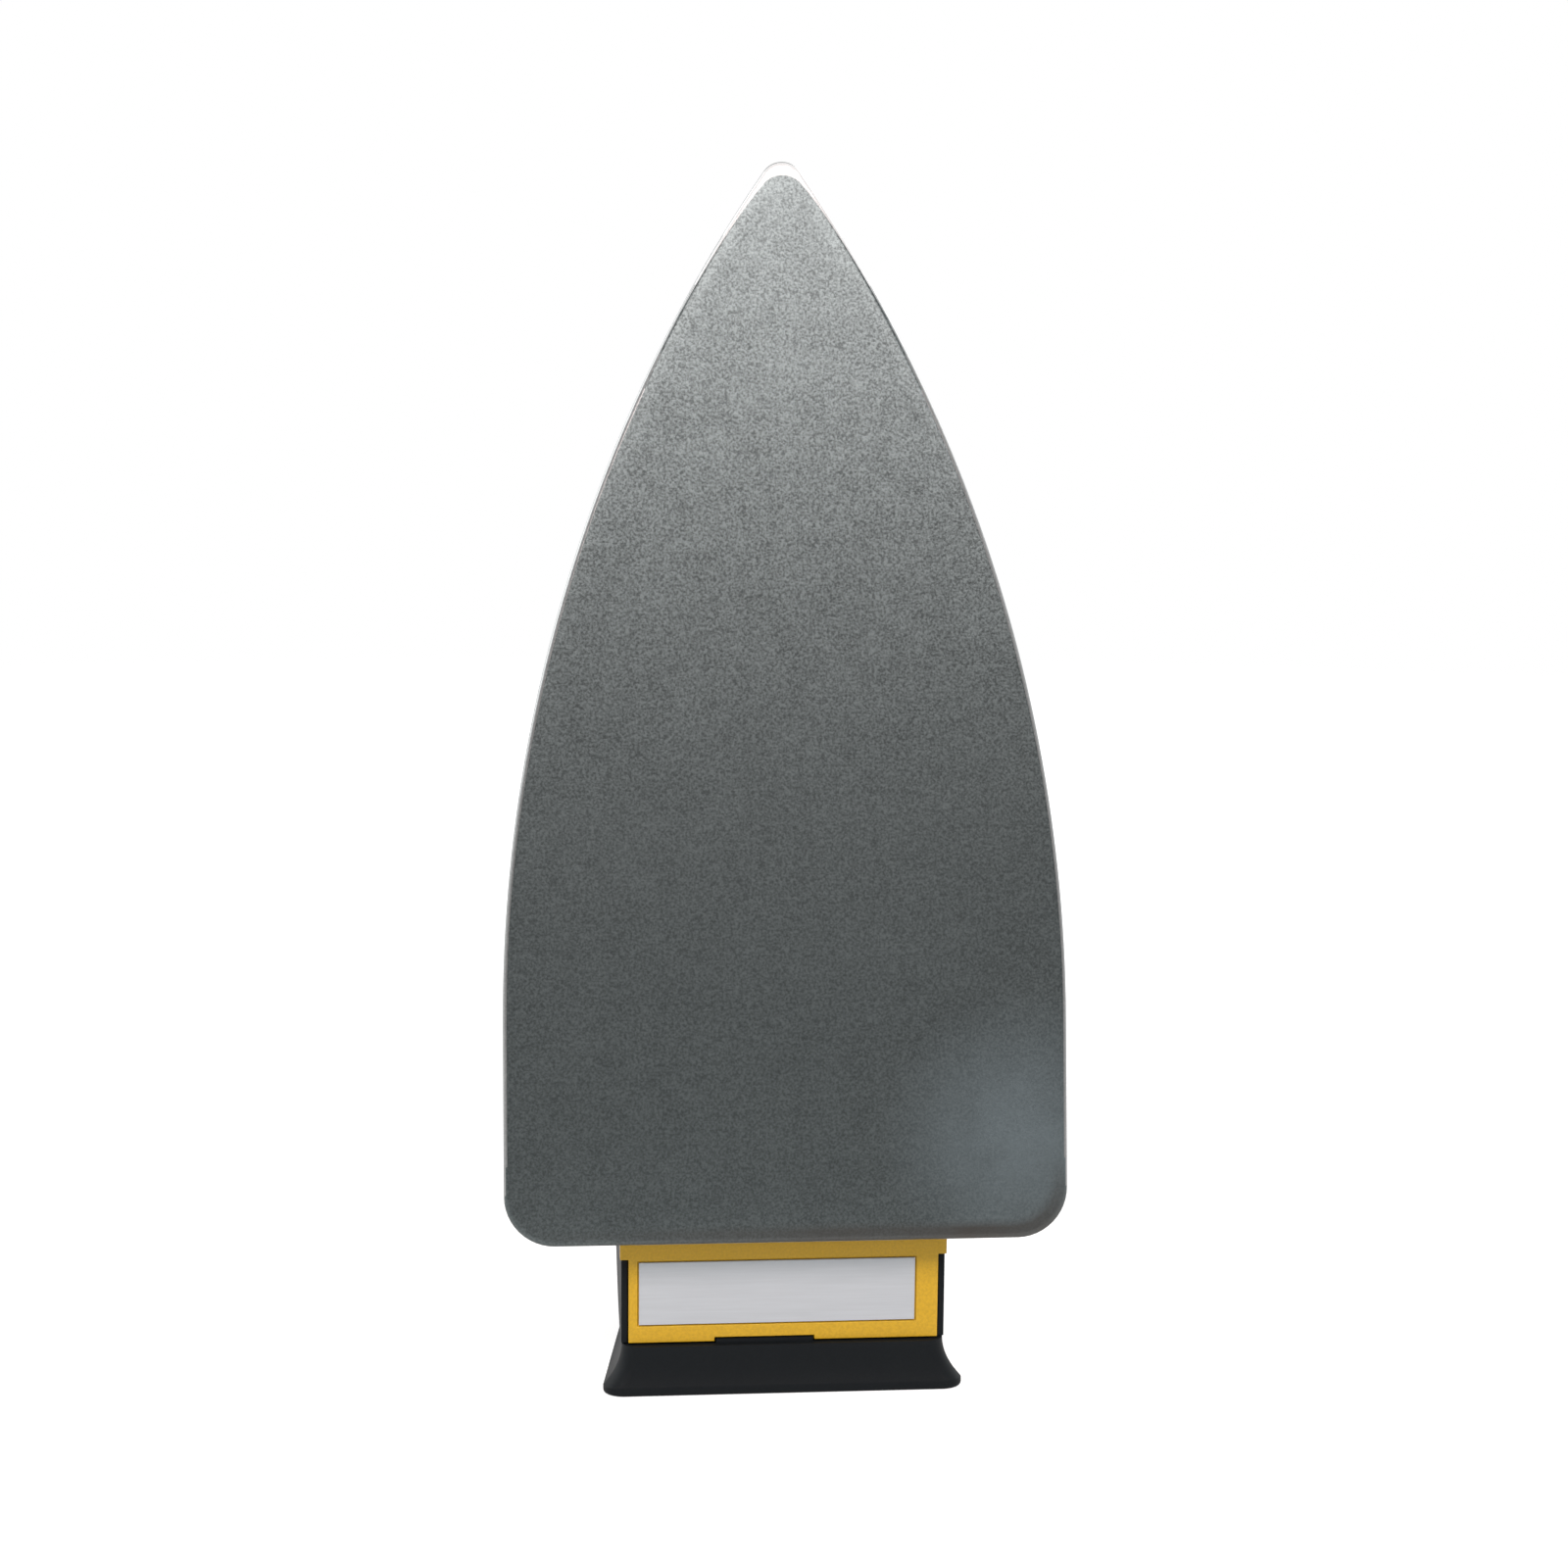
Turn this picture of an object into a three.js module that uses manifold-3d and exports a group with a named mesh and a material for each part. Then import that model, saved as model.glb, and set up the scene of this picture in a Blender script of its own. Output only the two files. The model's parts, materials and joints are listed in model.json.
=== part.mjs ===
// A dry iron, standing on its heel with its sole towards the viewer, in millimetres.
//
// The iron's own frame: X across, Y out from the sole face towards the handle, Z from the sole's
// rear edge towards the tip. The finished iron leans back on its heel rest, so that frame is turned
// about X and lifted; the exported group has +Z up and its origin in the middle of the rest face.

import * as THREE from "three";
import { mergeVertices } from "three/addons/utils/BufferGeometryUtils.js";
import Module from "manifold-3d";

const wasm = await Module();
wasm.setup();

// Driving sizes of the whole iron

const soleLength = 227.2;
const soleWidth = 119.1;
const leanBack = 8; // degrees that the standing iron leans away from its sole
const soleClearance = 35.25; // height of the sole's rear edge above the table when it stands
const seat = 0.3; // gap left between pieces that touch
const overrun = 1; // how far a cutting shape runs past what it cuts
const reach = 400; // side of the blocks that trim a whole piece

// Soleplate: an aluminium casting with a coated face

const soleNoseRadius = 4.7;
const soleStraight = 46; // parallel length of the sides, from the rear edge
const soleCornerRadius = 10.7;
const soleEdgeHeight = 8;
const soleEdgeRound = 1.2;
const soleNoseRound = 2.6; // the tip is rounded up more than the sides
const solePlatform = 10; // height of the raised middle of the casting
const platformInset = 6;
const platformNoseInset = 13;
const ribRadius = 6.2; // hump of metal cast around the element
const padTop = 12; // machined pad under the thermostat
const padLength = 26;
const padWidth = 20;

// Heating element: a sheathed tube bent to a U

const elementRadius = 3.4;
const elementCentre = 8.6; // height of its axis above the sole face
const elementEndTop = 21;
const elementEndX = 25;
const elementEndZ = 12.6;
const elementRearX = 34.5;
const elementRearZ = 58;
const elementNoseZ = 168;
const elementTurnShare = 0.6; // where each leg has reached its full width
const elementLegShares = [0.3, 0.6, 0.86];
const elementExponent = 2.6; // of the curve that the legs close in by
const pinRadius = 1.3;
const pinLength = 9;
const beadRadius = 4.3;
const beadLength = 5;

// Cover: painted steel over the sole

const coverInset = 3; // rim of the cover, in from the sole's edge
const coverRim = soleEdgeHeight + seat;
const coverTop = 44.5;
const coverWall = 1.4;
const coverTopHalfWidth = 34; // the flat top carries the handle's housing
const coverSideDraw = soleWidth / 2 - coverInset - coverTopHalfWidth; // from rim to top
const coverNoseDraw = 50;
const coverRearDraw = 5;
const coverNoseRadius = 4;
const coverTopNoseRadius = 12;
const coverCornerRadius = 9;
const coverTopCornerRadius = 14;
const noseSlopeShare = 0.55; // straight part of the nose's slope, the rest being curved

// Handle: one moulding, a grip over a front post and a hollow rear housing

const gripTop = 120;
const gripUnder = 90;
const gripHalfWidth = 17.5;
const gripCrown = 1.5;
const gripExponent = 2.5; // of its rounded sections: 2 is an ellipse, more is squarer
const postHalfWidth = 14.5;
const gapRear = 38; // finger gap between grip and cover
const gapFront = 152;
const gapExponent = 3;
const gapBlend = 34; // length over which the grip's round section takes over
const handleFront = 188;
const handleFrontStart = 100;
const handleFrontFoot = 34;
const handleFrontExponent = 1.8;
const housingHalfWidth = 34.7;
const housingExponent = 3; // of the housing's section above its middle
const housingFootExponent = 14; // and below, where its sides run straight
const housingBack = -26; // where the back of the housing turns square to the sole
const housingBackStart = 45;
const housingBackFoot = 40;
const housingBackExponent = 2.2;
const housingSpreadFront = 40; // the housing narrows to the grip between these
const housingSpreadRear = 2;
const housingSpreadLow = 60;
const housingSpreadHigh = 104;
const housingWall = 1.8;
const housingEndWall = 2.4;
const housingFloorDrop = 40; // sections run on below the sole to keep the walls upright
const shelfUnder = 54; // inner shelf that carries the terminals
const shelfThickness = 3;
const shelfFront = 8;

// Heel rest: the flared foot that the iron stands on

const heelHeight = 10.8;
const restDepth = 67;
const restHalfWidth = 38.6;
const restFarHalfWidth = 32.5; // its sides draw together towards the far end
const heelTopHalfWidth = 34.6;
const heelTopFarHalfWidth = 31;
const heelBehindSole = 11.3; // how far the lip stays behind the plane of the sole
const heelTopNear = 1.7; // how far the top draws in from the near lip
const heelTopFar = 5;
const heelLip = 1.8;
const heelLipRound = 0.8;
const heelNearCorner = 4;
const heelFarCorner = 16;
const heelWall = 2.2;
const heelHollowFar = 12.3; // the hollow ends under the housing
const heelFlareExponent = 2.2;
const tongueWidth = 20.8; // tongue that holds the rear cover's lower edge
const tongueHeight = 0.7;
const tongueSetback = 1.3; // behind the near edge of the foot's top
const tongueOffset = -4.1;

// Rear cover: the yellow plate with the rating label

const panelTop = -0.7; // its upper edge, just behind the sole's rear edge
const panelFace = 9.6; // height of that edge above the sole face
const panelLength = 22.35;
const panelHalfWidth = 33.2;
const panelThickness = 2.2;
const panelSlope = 9; // degrees away from the plane of the sole
const panelProud = 0.9; // it stands proud of the black walls beside it
const flangeHalfWidth = 35;
const flangeHeight = 3.95;
const clipDepth = 4.5;
const clipWidth = 9;
const clipThickness = 1.6;
const clipSpread = 9;
const labelWidth = 59.2;
const labelHeight = 13.8;
const labelThickness = 0.3;
const labelRecess = 0.6;
const labelOffset = -1.4;
const labelDrop = 4.6; // top edge of the label below the top edge of the panel
const notchDepth = 0.9;

// Dial, bezel and shaft

const dialCentre = 104;
const dialRadius = 24;
const dialFlange = 2.4;
const dialHeight = 10.5;
const dialDrumRadius = 18.4;
const dialFlutes = 24;
const fluteDepth = 0.7;
const dialLift = 0.8; // running gap under the dial
const bezelOuter = 28;
const bezelGap = 0.6;
const bezelHeight = 2.6;
const shaftRadius = 3;
const shaftThread = 3.6;
const shaftTip = 1.6;
const shaftThreadTop = 30.4;
const shaftTipTop = 21;
const dialCap = 3; // thickness over the end of the shaft
const dialHubRadius = 6;
const dialSkin = 2.2;

// Thermostat: a bimetal strip and two contact arms clamped in a stack of ceramic washers

const stackCentre = 76;
const stripWidth = 9;
const bimetalThickness = 1;
const armThickness = 0.5;
const washerRadius = 5;
const washerThickness = 2;
const rivetRadius = 1.6;
const rivetHead = 3;
const pushPinRadius = 1.2;
const pushPinZ = 97;
const stripNose = 4; // strip beyond the push pin
const contactZ = 89;
const contactRadius = 2;
const tabLength = 9; // push-on tab behind the stack
const tabInner = 0.6; // each arm's tab keeps to its own side
const bridgeTop = 28.6;
const bridgeThickness = 1.6;
const bridgeWidth = 13;
const bridgeFoot = 7;

// Heat shield, brackets and their seats on the casting

const shieldHeight = 31;
const shieldThickness = 0.8;
const shieldHalfWidth = 38;
const shieldRear = 34;
const shieldTip = 166;
const shieldNoseRadius = 12;
const shieldStraight = 26;
const shieldPostRadius = 4.5;
const shieldPostRearX = 21;
const shieldPostRearZ = 44;
const shieldPostFrontZ = 146;
const rearBracketThickness = 1.5;
const rearBracketHalfWidth = 26;
const rearBracketFootHalfWidth = 19;
const rearBracketTongue = 17.2; // height of the tongue that passes under the housing
const rearBracketEnd = -12.5;
const rearBracketRise = 6;
const rearBracketFoot = 22;
const housingScrewX = 20;
const housingScrewZ = -7.5;
const bracketScrewX = 14;
const bracketScrewZ = 16;
const noseBracketThickness = 1.5;
const noseBracketWidth = 9;
const noseBossZ = 188;
const noseHookZ = 203;
const noseShelfTop = 15.5;
const noseShelfThickness = 1.5;
const noseShelfStart = 197;
const noseShelfEnd = 208;

// Screws

const screwRadius = 1.7;
const screwHead = 3.4;
const screwHeadHeight = 2.2;
const smallScrewRadius = 1.3;
const smallScrewHead = 2.3;
const smallScrewHeadHeight = 1.6;
const handleScrewLength = 16;
const handleScrewRearX = 20.5;
const handleScrewRearZ = 14;
const handleScrewFrontZ = 170;
const handlePostRadius = 5;
const frontPadDepth = 5;
const housingScrewLength = 12;
const soleScrewLength = 6;
const heelScrewX = 28;
const heelScrewY = -1.7; // from the origin towards the back
const heelScrewLength = 8;

// Pilot lamp in the front post

const lensRadius = 5;
const lensWall = 1.2;
const lensLength = 9;
const lensProud = 1.8;
const lensHeight = 66;
const lensSink = 1; // its seat in the rear face of the front post
const lensDomeShare = 0.72;
const lensTilt = 20; // degrees up from the heel's direction
const lampRadius = 3.2;
const lampLength = 9;
const lampBore = 3.6;
const lampBoreInset = 10; // bore for its wires, beyond the seat of the lens

// Terminals and wiring

const blockWidth = 28;
const blockDepth = 12;
const blockHeight = 11;
const blockCentreX = -7;
const blockCentreZ = -3.5;
const portSpacing = 9;
const portRadius = 1.9;
const portDepth = 5;
const terminalScrewInset = 3; // from the block's front face
const blockScrewZ = -6.5;
const clampWidth = 18;
const clampDepth = 8;
const clampThickness = 1.2;
const clampArch = 3.4;
const clampFoot = 4.9;
const clampCentreX = 18.5;
const leadRadius = 1.45;
const lampLeadRadius = 0.6;
const fuseRadius = 2.3;
const fuseLength = 14;
const leadBend = 5;
const wireDropZ = 15; // the leads go down through the cover here
const neutralDropX = -12.6;
const earthDropX = -6.5;
const fuseTop = 54;
const lampLeadSpread = 6;
const lampLeadHeight = 36.5;
const wireOpeningHalfWidth = 15;
const wireOpeningFront = 25;

// Cord inlet: a bush in the back of the handle

const glandRadius = 7;
const glandFlange = 8.6;
const glandFlangeHeight = 2.4;
const glandBore = 4.4;
const glandLength = 9;
const glandTilt = 46; // degrees back from square to the sole
const glandZ = -5;
const glandSink = 2.7; // depth of its seat under the handle's back

// Facets

const cornerSteps = 3;
const sideSteps = 8;
const noseSteps = 3;
const edgeSteps = 2;
const roundSteps = 20;
const smallSteps = 12;
const screwSteps = 8;
const coverSteps = 6;
const heelSteps = 12;
const heelHollowSteps = 4;
const sectionPoints = 20;
const handleSteps = { back: 8, gap: 18, front: 7, room: 7 };
const elementFacets = { sides: 8, steps: 44 };
const ribFacets = { sides: 8, steps: 22 };
const leadFacets = { sides: 6, steps: 14 };
const lampLeadFacets = { sides: 5, steps: 30 };

// Materials

const finish = (color, roughness, metalness) =>
  new THREE.MeshStandardMaterial({ color, roughness, metalness });
const castAluminium = finish(0x7b8081, 0.42, 0.6);
const yellowPaint = finish(0xd9a92e, 0.35, 0);
const yellowPlastic = finish(0xd6a531, 0.45, 0);
const blackPlastic = finish(0x22262a, 0.5, 0);
const steel = finish(0x9a9da0, 0.35, 0.9);
const springSteel = finish(0xb3a07a, 0.35, 0.9);
const brass = finish(0xb08d4c, 0.35, 0.9);
const ceramic = finish(0xe8e4d8, 0.6, 0);
const redLens = finish(0xb3261e, 0.15, 0);
const lampGlass = finish(0xe6d3c0, 0.1, 0);
const foil = finish(0xbcc4c8, 0.4, 0.3);
const sleeve = finish(0xd8d4c4, 0.8, 0);
const earthSleeve = finish(0x8fae3a, 0.8, 0);

// Solids and back again

function solidOf(geometry) {
  const bare = geometry.index ? geometry.toNonIndexed() : geometry.clone();
  for (const name of Object.keys(bare.attributes)) {
    if (name !== "position") bare.deleteAttribute(name);
  }
  const merged = mergeVertices(bare);
  return new wasm.Manifold(
    new wasm.Mesh({
      numProp: 3,
      vertProperties: merged.attributes.position.array,
      triVerts: new Uint32Array(merged.index.array),
    }),
  );
}

function geometryOf(solid) {
  const mesh = solid.getMesh();
  return new THREE.BufferGeometry()
    .setAttribute("position", new THREE.BufferAttribute(mesh.vertProperties, 3))
    .setIndex(new THREE.BufferAttribute(mesh.triVerts, 1))
    .toNonIndexed();
}

// What is left of the first geometry once the others are cut from it.
function cut(geometry, ...tools) {
  return geometryOf(tools.reduce((left, tool) => left.subtract(solidOf(tool)), solidOf(geometry)));
}

function join(geometry, ...others) {
  return geometryOf(others.reduce((made, other) => made.add(solidOf(other)), solidOf(geometry)));
}

function common(geometry, other) {
  return geometryOf(solidOf(geometry).intersect(solidOf(other)));
}

// Basic shapes, each already in place

function block(x0, x1, y0, y1, z0, z1) {
  return new THREE.BoxGeometry(x1 - x0, y1 - y0, z1 - z0).translate(
    (x0 + x1) / 2,
    (y0 + y1) / 2,
    (z0 + z1) / 2,
  );
}

// A turned solid about +Y. Its profile of [radius, height] starts and ends on the axis, or closes.
function turned(profile, steps = roundSteps) {
  return new THREE.LatheGeometry(
    profile.map(([r, y]) => new THREE.Vector2(r, y)),
    steps,
  );
}

// A round bar along +Y from y0 to y1.
function rod(radius, y0, y1, x = 0, z = 0, steps = smallSteps) {
  return turned([[0, y0], [radius, y0], [radius, y1], [0, y1]], steps).translate(x, 0, z);
}

// A ring along +Y.
function ring(inner, outer, y0, y1, steps = roundSteps) {
  return turned([[inner, y0], [outer, y0], [outer, y1], [inner, y1], [inner, y0]], steps);
}

// A flat plate cut from an outline of [x, z] points, from y0 to y1.
function plate(points, y0, y1) {
  const shape = new THREE.Shape(points.map(([x, z]) => new THREE.Vector2(x, z)));
  return new THREE.ExtrudeGeometry(shape, { depth: y1 - y0, bevelEnabled: false })
    .rotateX(Math.PI / 2)
    .translate(0, y1, 0);
}

// A strip bent in the Y-Z plane: its outline is a list of [z, y], its width runs across X.
function bentStrip(outline, x0, x1) {
  const shape = new THREE.Shape(outline.map(([z, y]) => new THREE.Vector2(z, y)));
  return new THREE.ExtrudeGeometry(shape, { depth: x1 - x0, bevelEnabled: false })
    .rotateY(-Math.PI / 2)
    .translate(x1, 0, 0);
}

// A round bar along a curve.
function tube(curve, radius, { sides, steps }) {
  const section = new THREE.Shape();
  for (let i = 0; i <= sides; i++) {
    const a = (2 * Math.PI * i) / sides;
    if (i === 0) section.moveTo(radius, 0);
    else section.lineTo(radius * Math.cos(a), radius * Math.sin(a));
  }
  return new THREE.ExtrudeGeometry(section, { steps, bevelEnabled: false, extrudePath: curve });
}

const through = (...points) =>
  new THREE.CatmullRomCurve3(points.map(([x, y, z]) => new THREE.Vector3(x, y, z)), false, "centripetal");

// A closed skin over rings of equal point counts, with a flat cap at each end.
function loft(rings) {
  const count = rings[0].length;
  const points = rings.flat();
  const middle = (list) =>
    list.reduce((sum, p) => sum.add(p), new THREE.Vector3()).divideScalar(list.length);
  const first = points.push(middle(rings[0])) - 1;
  const last = points.push(middle(rings[rings.length - 1])) - 1;
  const faces = [];
  for (let i = 0; i < count; i++) {
    const j = (i + 1) % count;
    for (let k = 0; k < rings.length - 1; k++) {
      const a = k * count;
      const b = a + count;
      faces.push([a + i, a + j, b + j], [a + i, b + j, b + i]);
    }
    const top = (rings.length - 1) * count;
    faces.push([first, j, i], [last, top + i, top + j]);
  }
  const volume = faces.reduce(
    (sum, [a, b, c]) => sum + points[a].dot(points[b].clone().cross(points[c])),
    0,
  );
  const turnedOut = volume < 0 ? faces.map(([a, b, c]) => [a, c, b]) : faces;
  return new THREE.BufferGeometry()
    .setFromPoints(points)
    .setIndex(turnedOut.flat())
    .toNonIndexed();
}

const smooth = (t) => {
  const s = Math.min(Math.max(t, 0), 1);
  return s * s * (3 - 2 * s);
};

const evenly = (from, to, steps) =>
  Array.from({ length: steps + 1 }, (_, i) => THREE.MathUtils.lerp(from, to, i / steps));

const radians = THREE.MathUtils.degToRad;

// The sole's outline at one height: parallel sides, two long arcs, a small tip and two rear corners.
function soleRing({ y, halfWidth, rear, tip, noseRadius, arcStart, cornerRadius }) {
  const rise = tip - noseRadius - arcStart;
  const arcRadius =
    (halfWidth ** 2 + rise ** 2 - noseRadius ** 2) / (2 * (halfWidth - noseRadius));
  const sweep = Math.atan2(rise, arcRadius - halfWidth);
  const right = [];
  for (let i = 0; i <= cornerSteps; i++) {
    const a = (Math.PI / 2) * (i / cornerSteps - 1);
    right.push([
      halfWidth - cornerRadius + cornerRadius * Math.cos(a),
      rear + cornerRadius + cornerRadius * Math.sin(a),
    ]);
  }
  for (let i = 0; i <= sideSteps; i++) {
    const a = (sweep * i) / sideSteps;
    right.push([halfWidth - arcRadius + arcRadius * Math.cos(a), arcStart + arcRadius * Math.sin(a)]);
  }
  for (let i = 1; i <= noseSteps; i++) {
    const a = sweep + ((Math.PI / 2 - sweep) * i) / noseSteps;
    right.push([noseRadius * Math.cos(a), tip - noseRadius + noseRadius * Math.sin(a)]);
  }
  const left = right.slice(0, -1).reverse().map(([x, z]) => [-x, z]);
  return [...right, ...left].map(([x, z]) => new THREE.Vector3(x, y, z));
}

// The sole drawn in by an inset, and by another at the tip.
function insetSoleRing(y, inset, tipInset = inset) {
  return soleRing({
    y,
    halfWidth: soleWidth / 2 - inset,
    rear: inset,
    tip: soleLength - tipInset,
    noseRadius: soleNoseRadius,
    arcStart: soleStraight,
    cornerRadius: soleCornerRadius - inset / 2,
  });
}

// The element's axis: up out of the casting at the rear and round inside the tip.
const elementSide = [
  [elementEndX, elementEndTop, elementEndZ],
  [elementEndX, elementCentre + 2 * elementRadius, elementEndZ],
  [elementEndX + elementRadius / 2, elementCentre, elementEndZ + 2 * elementRadius],
  [elementRearX, elementCentre, elementEndZ + (elementRearZ - elementEndZ) * elementTurnShare],
  [elementRearX, elementCentre, elementRearZ],
];
const elementForward = elementLegShares.map((share) => {
  const half = elementRearX * Math.sqrt(1 - share ** elementExponent);
  return [half, elementCentre, THREE.MathUtils.lerp(elementRearZ, elementNoseZ, share)];
});
const mirrored = (points) => points.map(([x, y, z]) => [-x, y, z]).reverse();
const elementPoints = [
  ...elementSide,
  ...elementForward,
  [0, elementCentre, elementNoseZ],
  ...mirrored(elementForward),
  ...mirrored(elementSide),
];
const elementPath = through(...elementPoints);
const ribPath = through(
  ...elementPoints.slice(2, -2).map(([x, , z]) => [x, elementCentre, z]),
);

// Threaded and plain seats for the screws that enter the casting
const castingScrews = [
  { x: 0, z: noseBossZ, top: padTop },
  { x: -bracketScrewX, z: bracketScrewZ, top: solePlatform },
  { x: bracketScrewX, z: bracketScrewZ, top: solePlatform },
];
const bridgeInner = padWidth / 2 + 2 * seat;
const bridgeScrewX = bridgeInner + bridgeThickness + bridgeFoot / 2;
const bridgeScrews = [-1, 1].map((side) => ({
  x: side * bridgeScrewX,
  z: dialCentre,
  top: solePlatform,
}));
const shieldPosts = [
  [-shieldPostRearX, shieldPostRearZ],
  [shieldPostRearX, shieldPostRearZ],
  [0, shieldPostFrontZ],
];

function soleplate() {
  const edge = evenly(0, Math.PI / 2, edgeSteps).map((a) => {
    const drawn = 1 - Math.sin(a);
    return insetSoleRing(soleEdgeRound * (1 - Math.cos(a)), soleEdgeRound * drawn, soleNoseRound * drawn);
  });
  const body = loft([
    ...edge,
    insetSoleRing(soleEdgeHeight, 0),
    insetSoleRing(soleEdgeHeight, platformInset, platformNoseInset),
    insetSoleRing(solePlatform, platformInset, platformNoseInset),
  ]);
  const rib = tube(ribPath, ribRadius, ribFacets);
  const pad = block(
    -padWidth / 2,
    padWidth / 2,
    solePlatform - overrun,
    padTop,
    stackCentre - padLength / 2,
    stackCentre + padLength,
  );
  const posts = shieldPosts.map(([x, z]) =>
    rod(shieldPostRadius, solePlatform - overrun, shieldHeight - seat, x, z),
  );
  const noseBoss = rod(noseBracketWidth / 2, solePlatform - overrun, padTop, 0, noseBossZ);
  const channel = tube(elementPath, elementRadius + seat, elementFacets);
  const holes = [...castingScrews, ...bridgeScrews].map(({ x, z, top }) =>
    rod(screwRadius + seat, top - soleScrewLength, top + overrun, x, z),
  );
  const postHoles = shieldPosts.map(([x, z]) =>
    rod(screwRadius + seat, shieldHeight - soleScrewLength, shieldHeight + overrun, x, z),
  );
  const rivetHole = rod(
    rivetRadius + seat,
    padTop - soleScrewLength,
    padTop + overrun,
    0,
    stackCentre,
  );
  return cut(join(body, rib, pad, noseBoss, ...posts), channel, ...holes, ...postHoles, rivetHole);
}

// One ring of the cover, from its rim (share 0) to its flat top (share 1), drawn in by some thickness.
function coverRing(share, shrink) {
  const a = (share * Math.PI) / 2;
  const draw = 1 - Math.cos(a);
  const noseDraw = noseSlopeShare * Math.sin(a) + (1 - noseSlopeShare) * draw;
  return soleRing({
    y: coverRim + (coverTop - coverRim - shrink) * Math.sin(a),
    halfWidth: soleWidth / 2 - coverInset - coverSideDraw * draw - shrink,
    rear: coverInset + coverRearDraw * draw + shrink,
    tip: soleLength - coverInset - coverNoseDraw * noseDraw - 2 * shrink,
    noseRadius: THREE.MathUtils.lerp(coverNoseRadius, coverTopNoseRadius, share),
    arcStart: soleStraight,
    cornerRadius: THREE.MathUtils.lerp(coverCornerRadius, coverTopCornerRadius, share) - shrink / 2,
  });
}

// The cover's outer form, or that form drawn in by shrink, run down past the rim by drop.
function coverForm(shrink, drop) {
  const rings = [];
  if (drop > 0) rings.push(coverRing(0, shrink).map((p) => p.clone().setY(coverRim - drop)));
  for (let i = 0; i <= coverSteps; i++) rings.push(coverRing(i / coverSteps, shrink));
  return loft(rings);
}

function cover() {
  const outer = coverForm(0, 0);
  const inner = coverForm(coverWall, overrun);
  const frontPad = rod(
    handlePostRadius + overrun,
    coverTop - coverWall - frontPadDepth,
    coverTop,
    0,
    handleScrewFrontZ,
  );
  const noseShelf = block(
    -soleWidth / 2,
    soleWidth / 2,
    noseShelfTop - noseShelfThickness,
    noseShelfTop,
    noseShelfStart,
    noseShelfEnd,
  );
  const middle = coverForm(coverWall / 2, 0);
  const shell = join(cut(outer, inner), common(frontPad, middle), common(noseShelf, middle));
  const shaftHole = rod(
    shaftRadius + 2 * overrun,
    coverTop - 2 * coverWall,
    coverTop + overrun,
    0,
    dialCentre,
    roundSteps,
  );
  const lampHole = rod(
    lampBore,
    coverTop - 2 * coverWall,
    coverTop + overrun,
    0,
    lampBoreZ,
  );
  const screwHoles = [
    [-handleScrewRearX, handleScrewRearZ],
    [handleScrewRearX, handleScrewRearZ],
    [0, handleScrewFrontZ],
  ].map(([x, z]) => rod(screwRadius + seat, shieldHeight, coverTop + overrun, x, z));
  const wireOpening = block(
    -wireOpeningHalfWidth,
    wireOpeningHalfWidth,
    coverTop / 2 + soleEdgeHeight,
    coverTop + overrun,
    -overrun,
    wireOpeningFront,
  );
  const bracketSlot = block(
    -rearBracketHalfWidth - seat,
    rearBracketHalfWidth + seat,
    rearBracketTongue - seat,
    rearBracketTongue + rearBracketThickness + seat,
    -overrun,
    coverInset + coverRearDraw + coverWall,
  );
  return cut(shell, shaftHole, lampHole, ...screwHoles, wireOpening, bracketSlot);
}

// The standing iron's frame seen from the iron's own frame, and the other way round

const lean = radians(leanBack);
const soleEdgeY =
  -restDepth / 2 - heelBehindSole / Math.cos(lean) + soleClearance * Math.tan(lean);
const standing = new THREE.Matrix4()
  .makeTranslation(0, soleEdgeY, soleClearance)
  .multiply(new THREE.Matrix4().makeRotationX(-lean));
const lying = standing.clone().invert();

// The line of the rear cover's face, and a matrix that lays a flat piece on it: its local X runs
// across, local Y out of the face towards the sole side, local Z down the panel.
const panel = radians(panelSlope);
const onPanel = new THREE.Matrix4()
  .makeTranslation(0, panelFace, panelTop)
  .multiply(new THREE.Matrix4().makeRotationX(panel))
  .multiply(new THREE.Matrix4().makeScale(1, -1, -1));

// The handle's section at one place along the iron

const gapMiddle = (gapRear + gapFront) / 2;
const gapHalf = (gapFront - gapRear) / 2;

function sectionTop(z) {
  const crown = gripCrown * smooth(1 - Math.abs(z - gapMiddle) / gapHalf);
  if (z < housingBackStart) {
    const u = Math.min((housingBackStart - z) / (housingBackStart - housingBack), 1);
    const height = (1 - u ** housingBackExponent) ** (1 / housingBackExponent);
    return THREE.MathUtils.lerp(housingBackFoot, gripTop, height) + crown;
  }
  if (z > handleFrontStart) {
    const u = (z - handleFrontStart) / (handleFront - handleFrontStart);
    const height = (1 - u ** handleFrontExponent) ** (1 / handleFrontExponent);
    return THREE.MathUtils.lerp(handleFrontFoot, gripTop, height) + crown;
  }
  return gripTop + crown;
}

function sectionBottom(z) {
  const u = Math.abs(z - gapMiddle) / gapHalf;
  if (u >= 1) return z < gapMiddle ? -housingFloorDrop : 0;
  const height = (1 - u ** gapExponent) ** (1 / gapExponent);
  return THREE.MathUtils.lerp(coverTop - 2 * coverWall, gripUnder, height);
}

function sectionHalfWidth(y, z) {
  if (z > gapMiddle) {
    const forward = smooth((z - handleFrontStart) / (gapFront - handleFrontStart));
    return THREE.MathUtils.lerp(gripHalfWidth, postHalfWidth, forward);
  }
  const back = 1 - smooth((z - housingSpreadRear) / (housingSpreadFront - housingSpreadRear));
  const low = 1 - smooth((y - housingSpreadLow) / (housingSpreadHigh - housingSpreadLow));
  return gripHalfWidth + (housingHalfWidth - gripHalfWidth) * back * low;
}

const backCrowding = 1.8; // the housing's sections crowd towards its back

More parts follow.
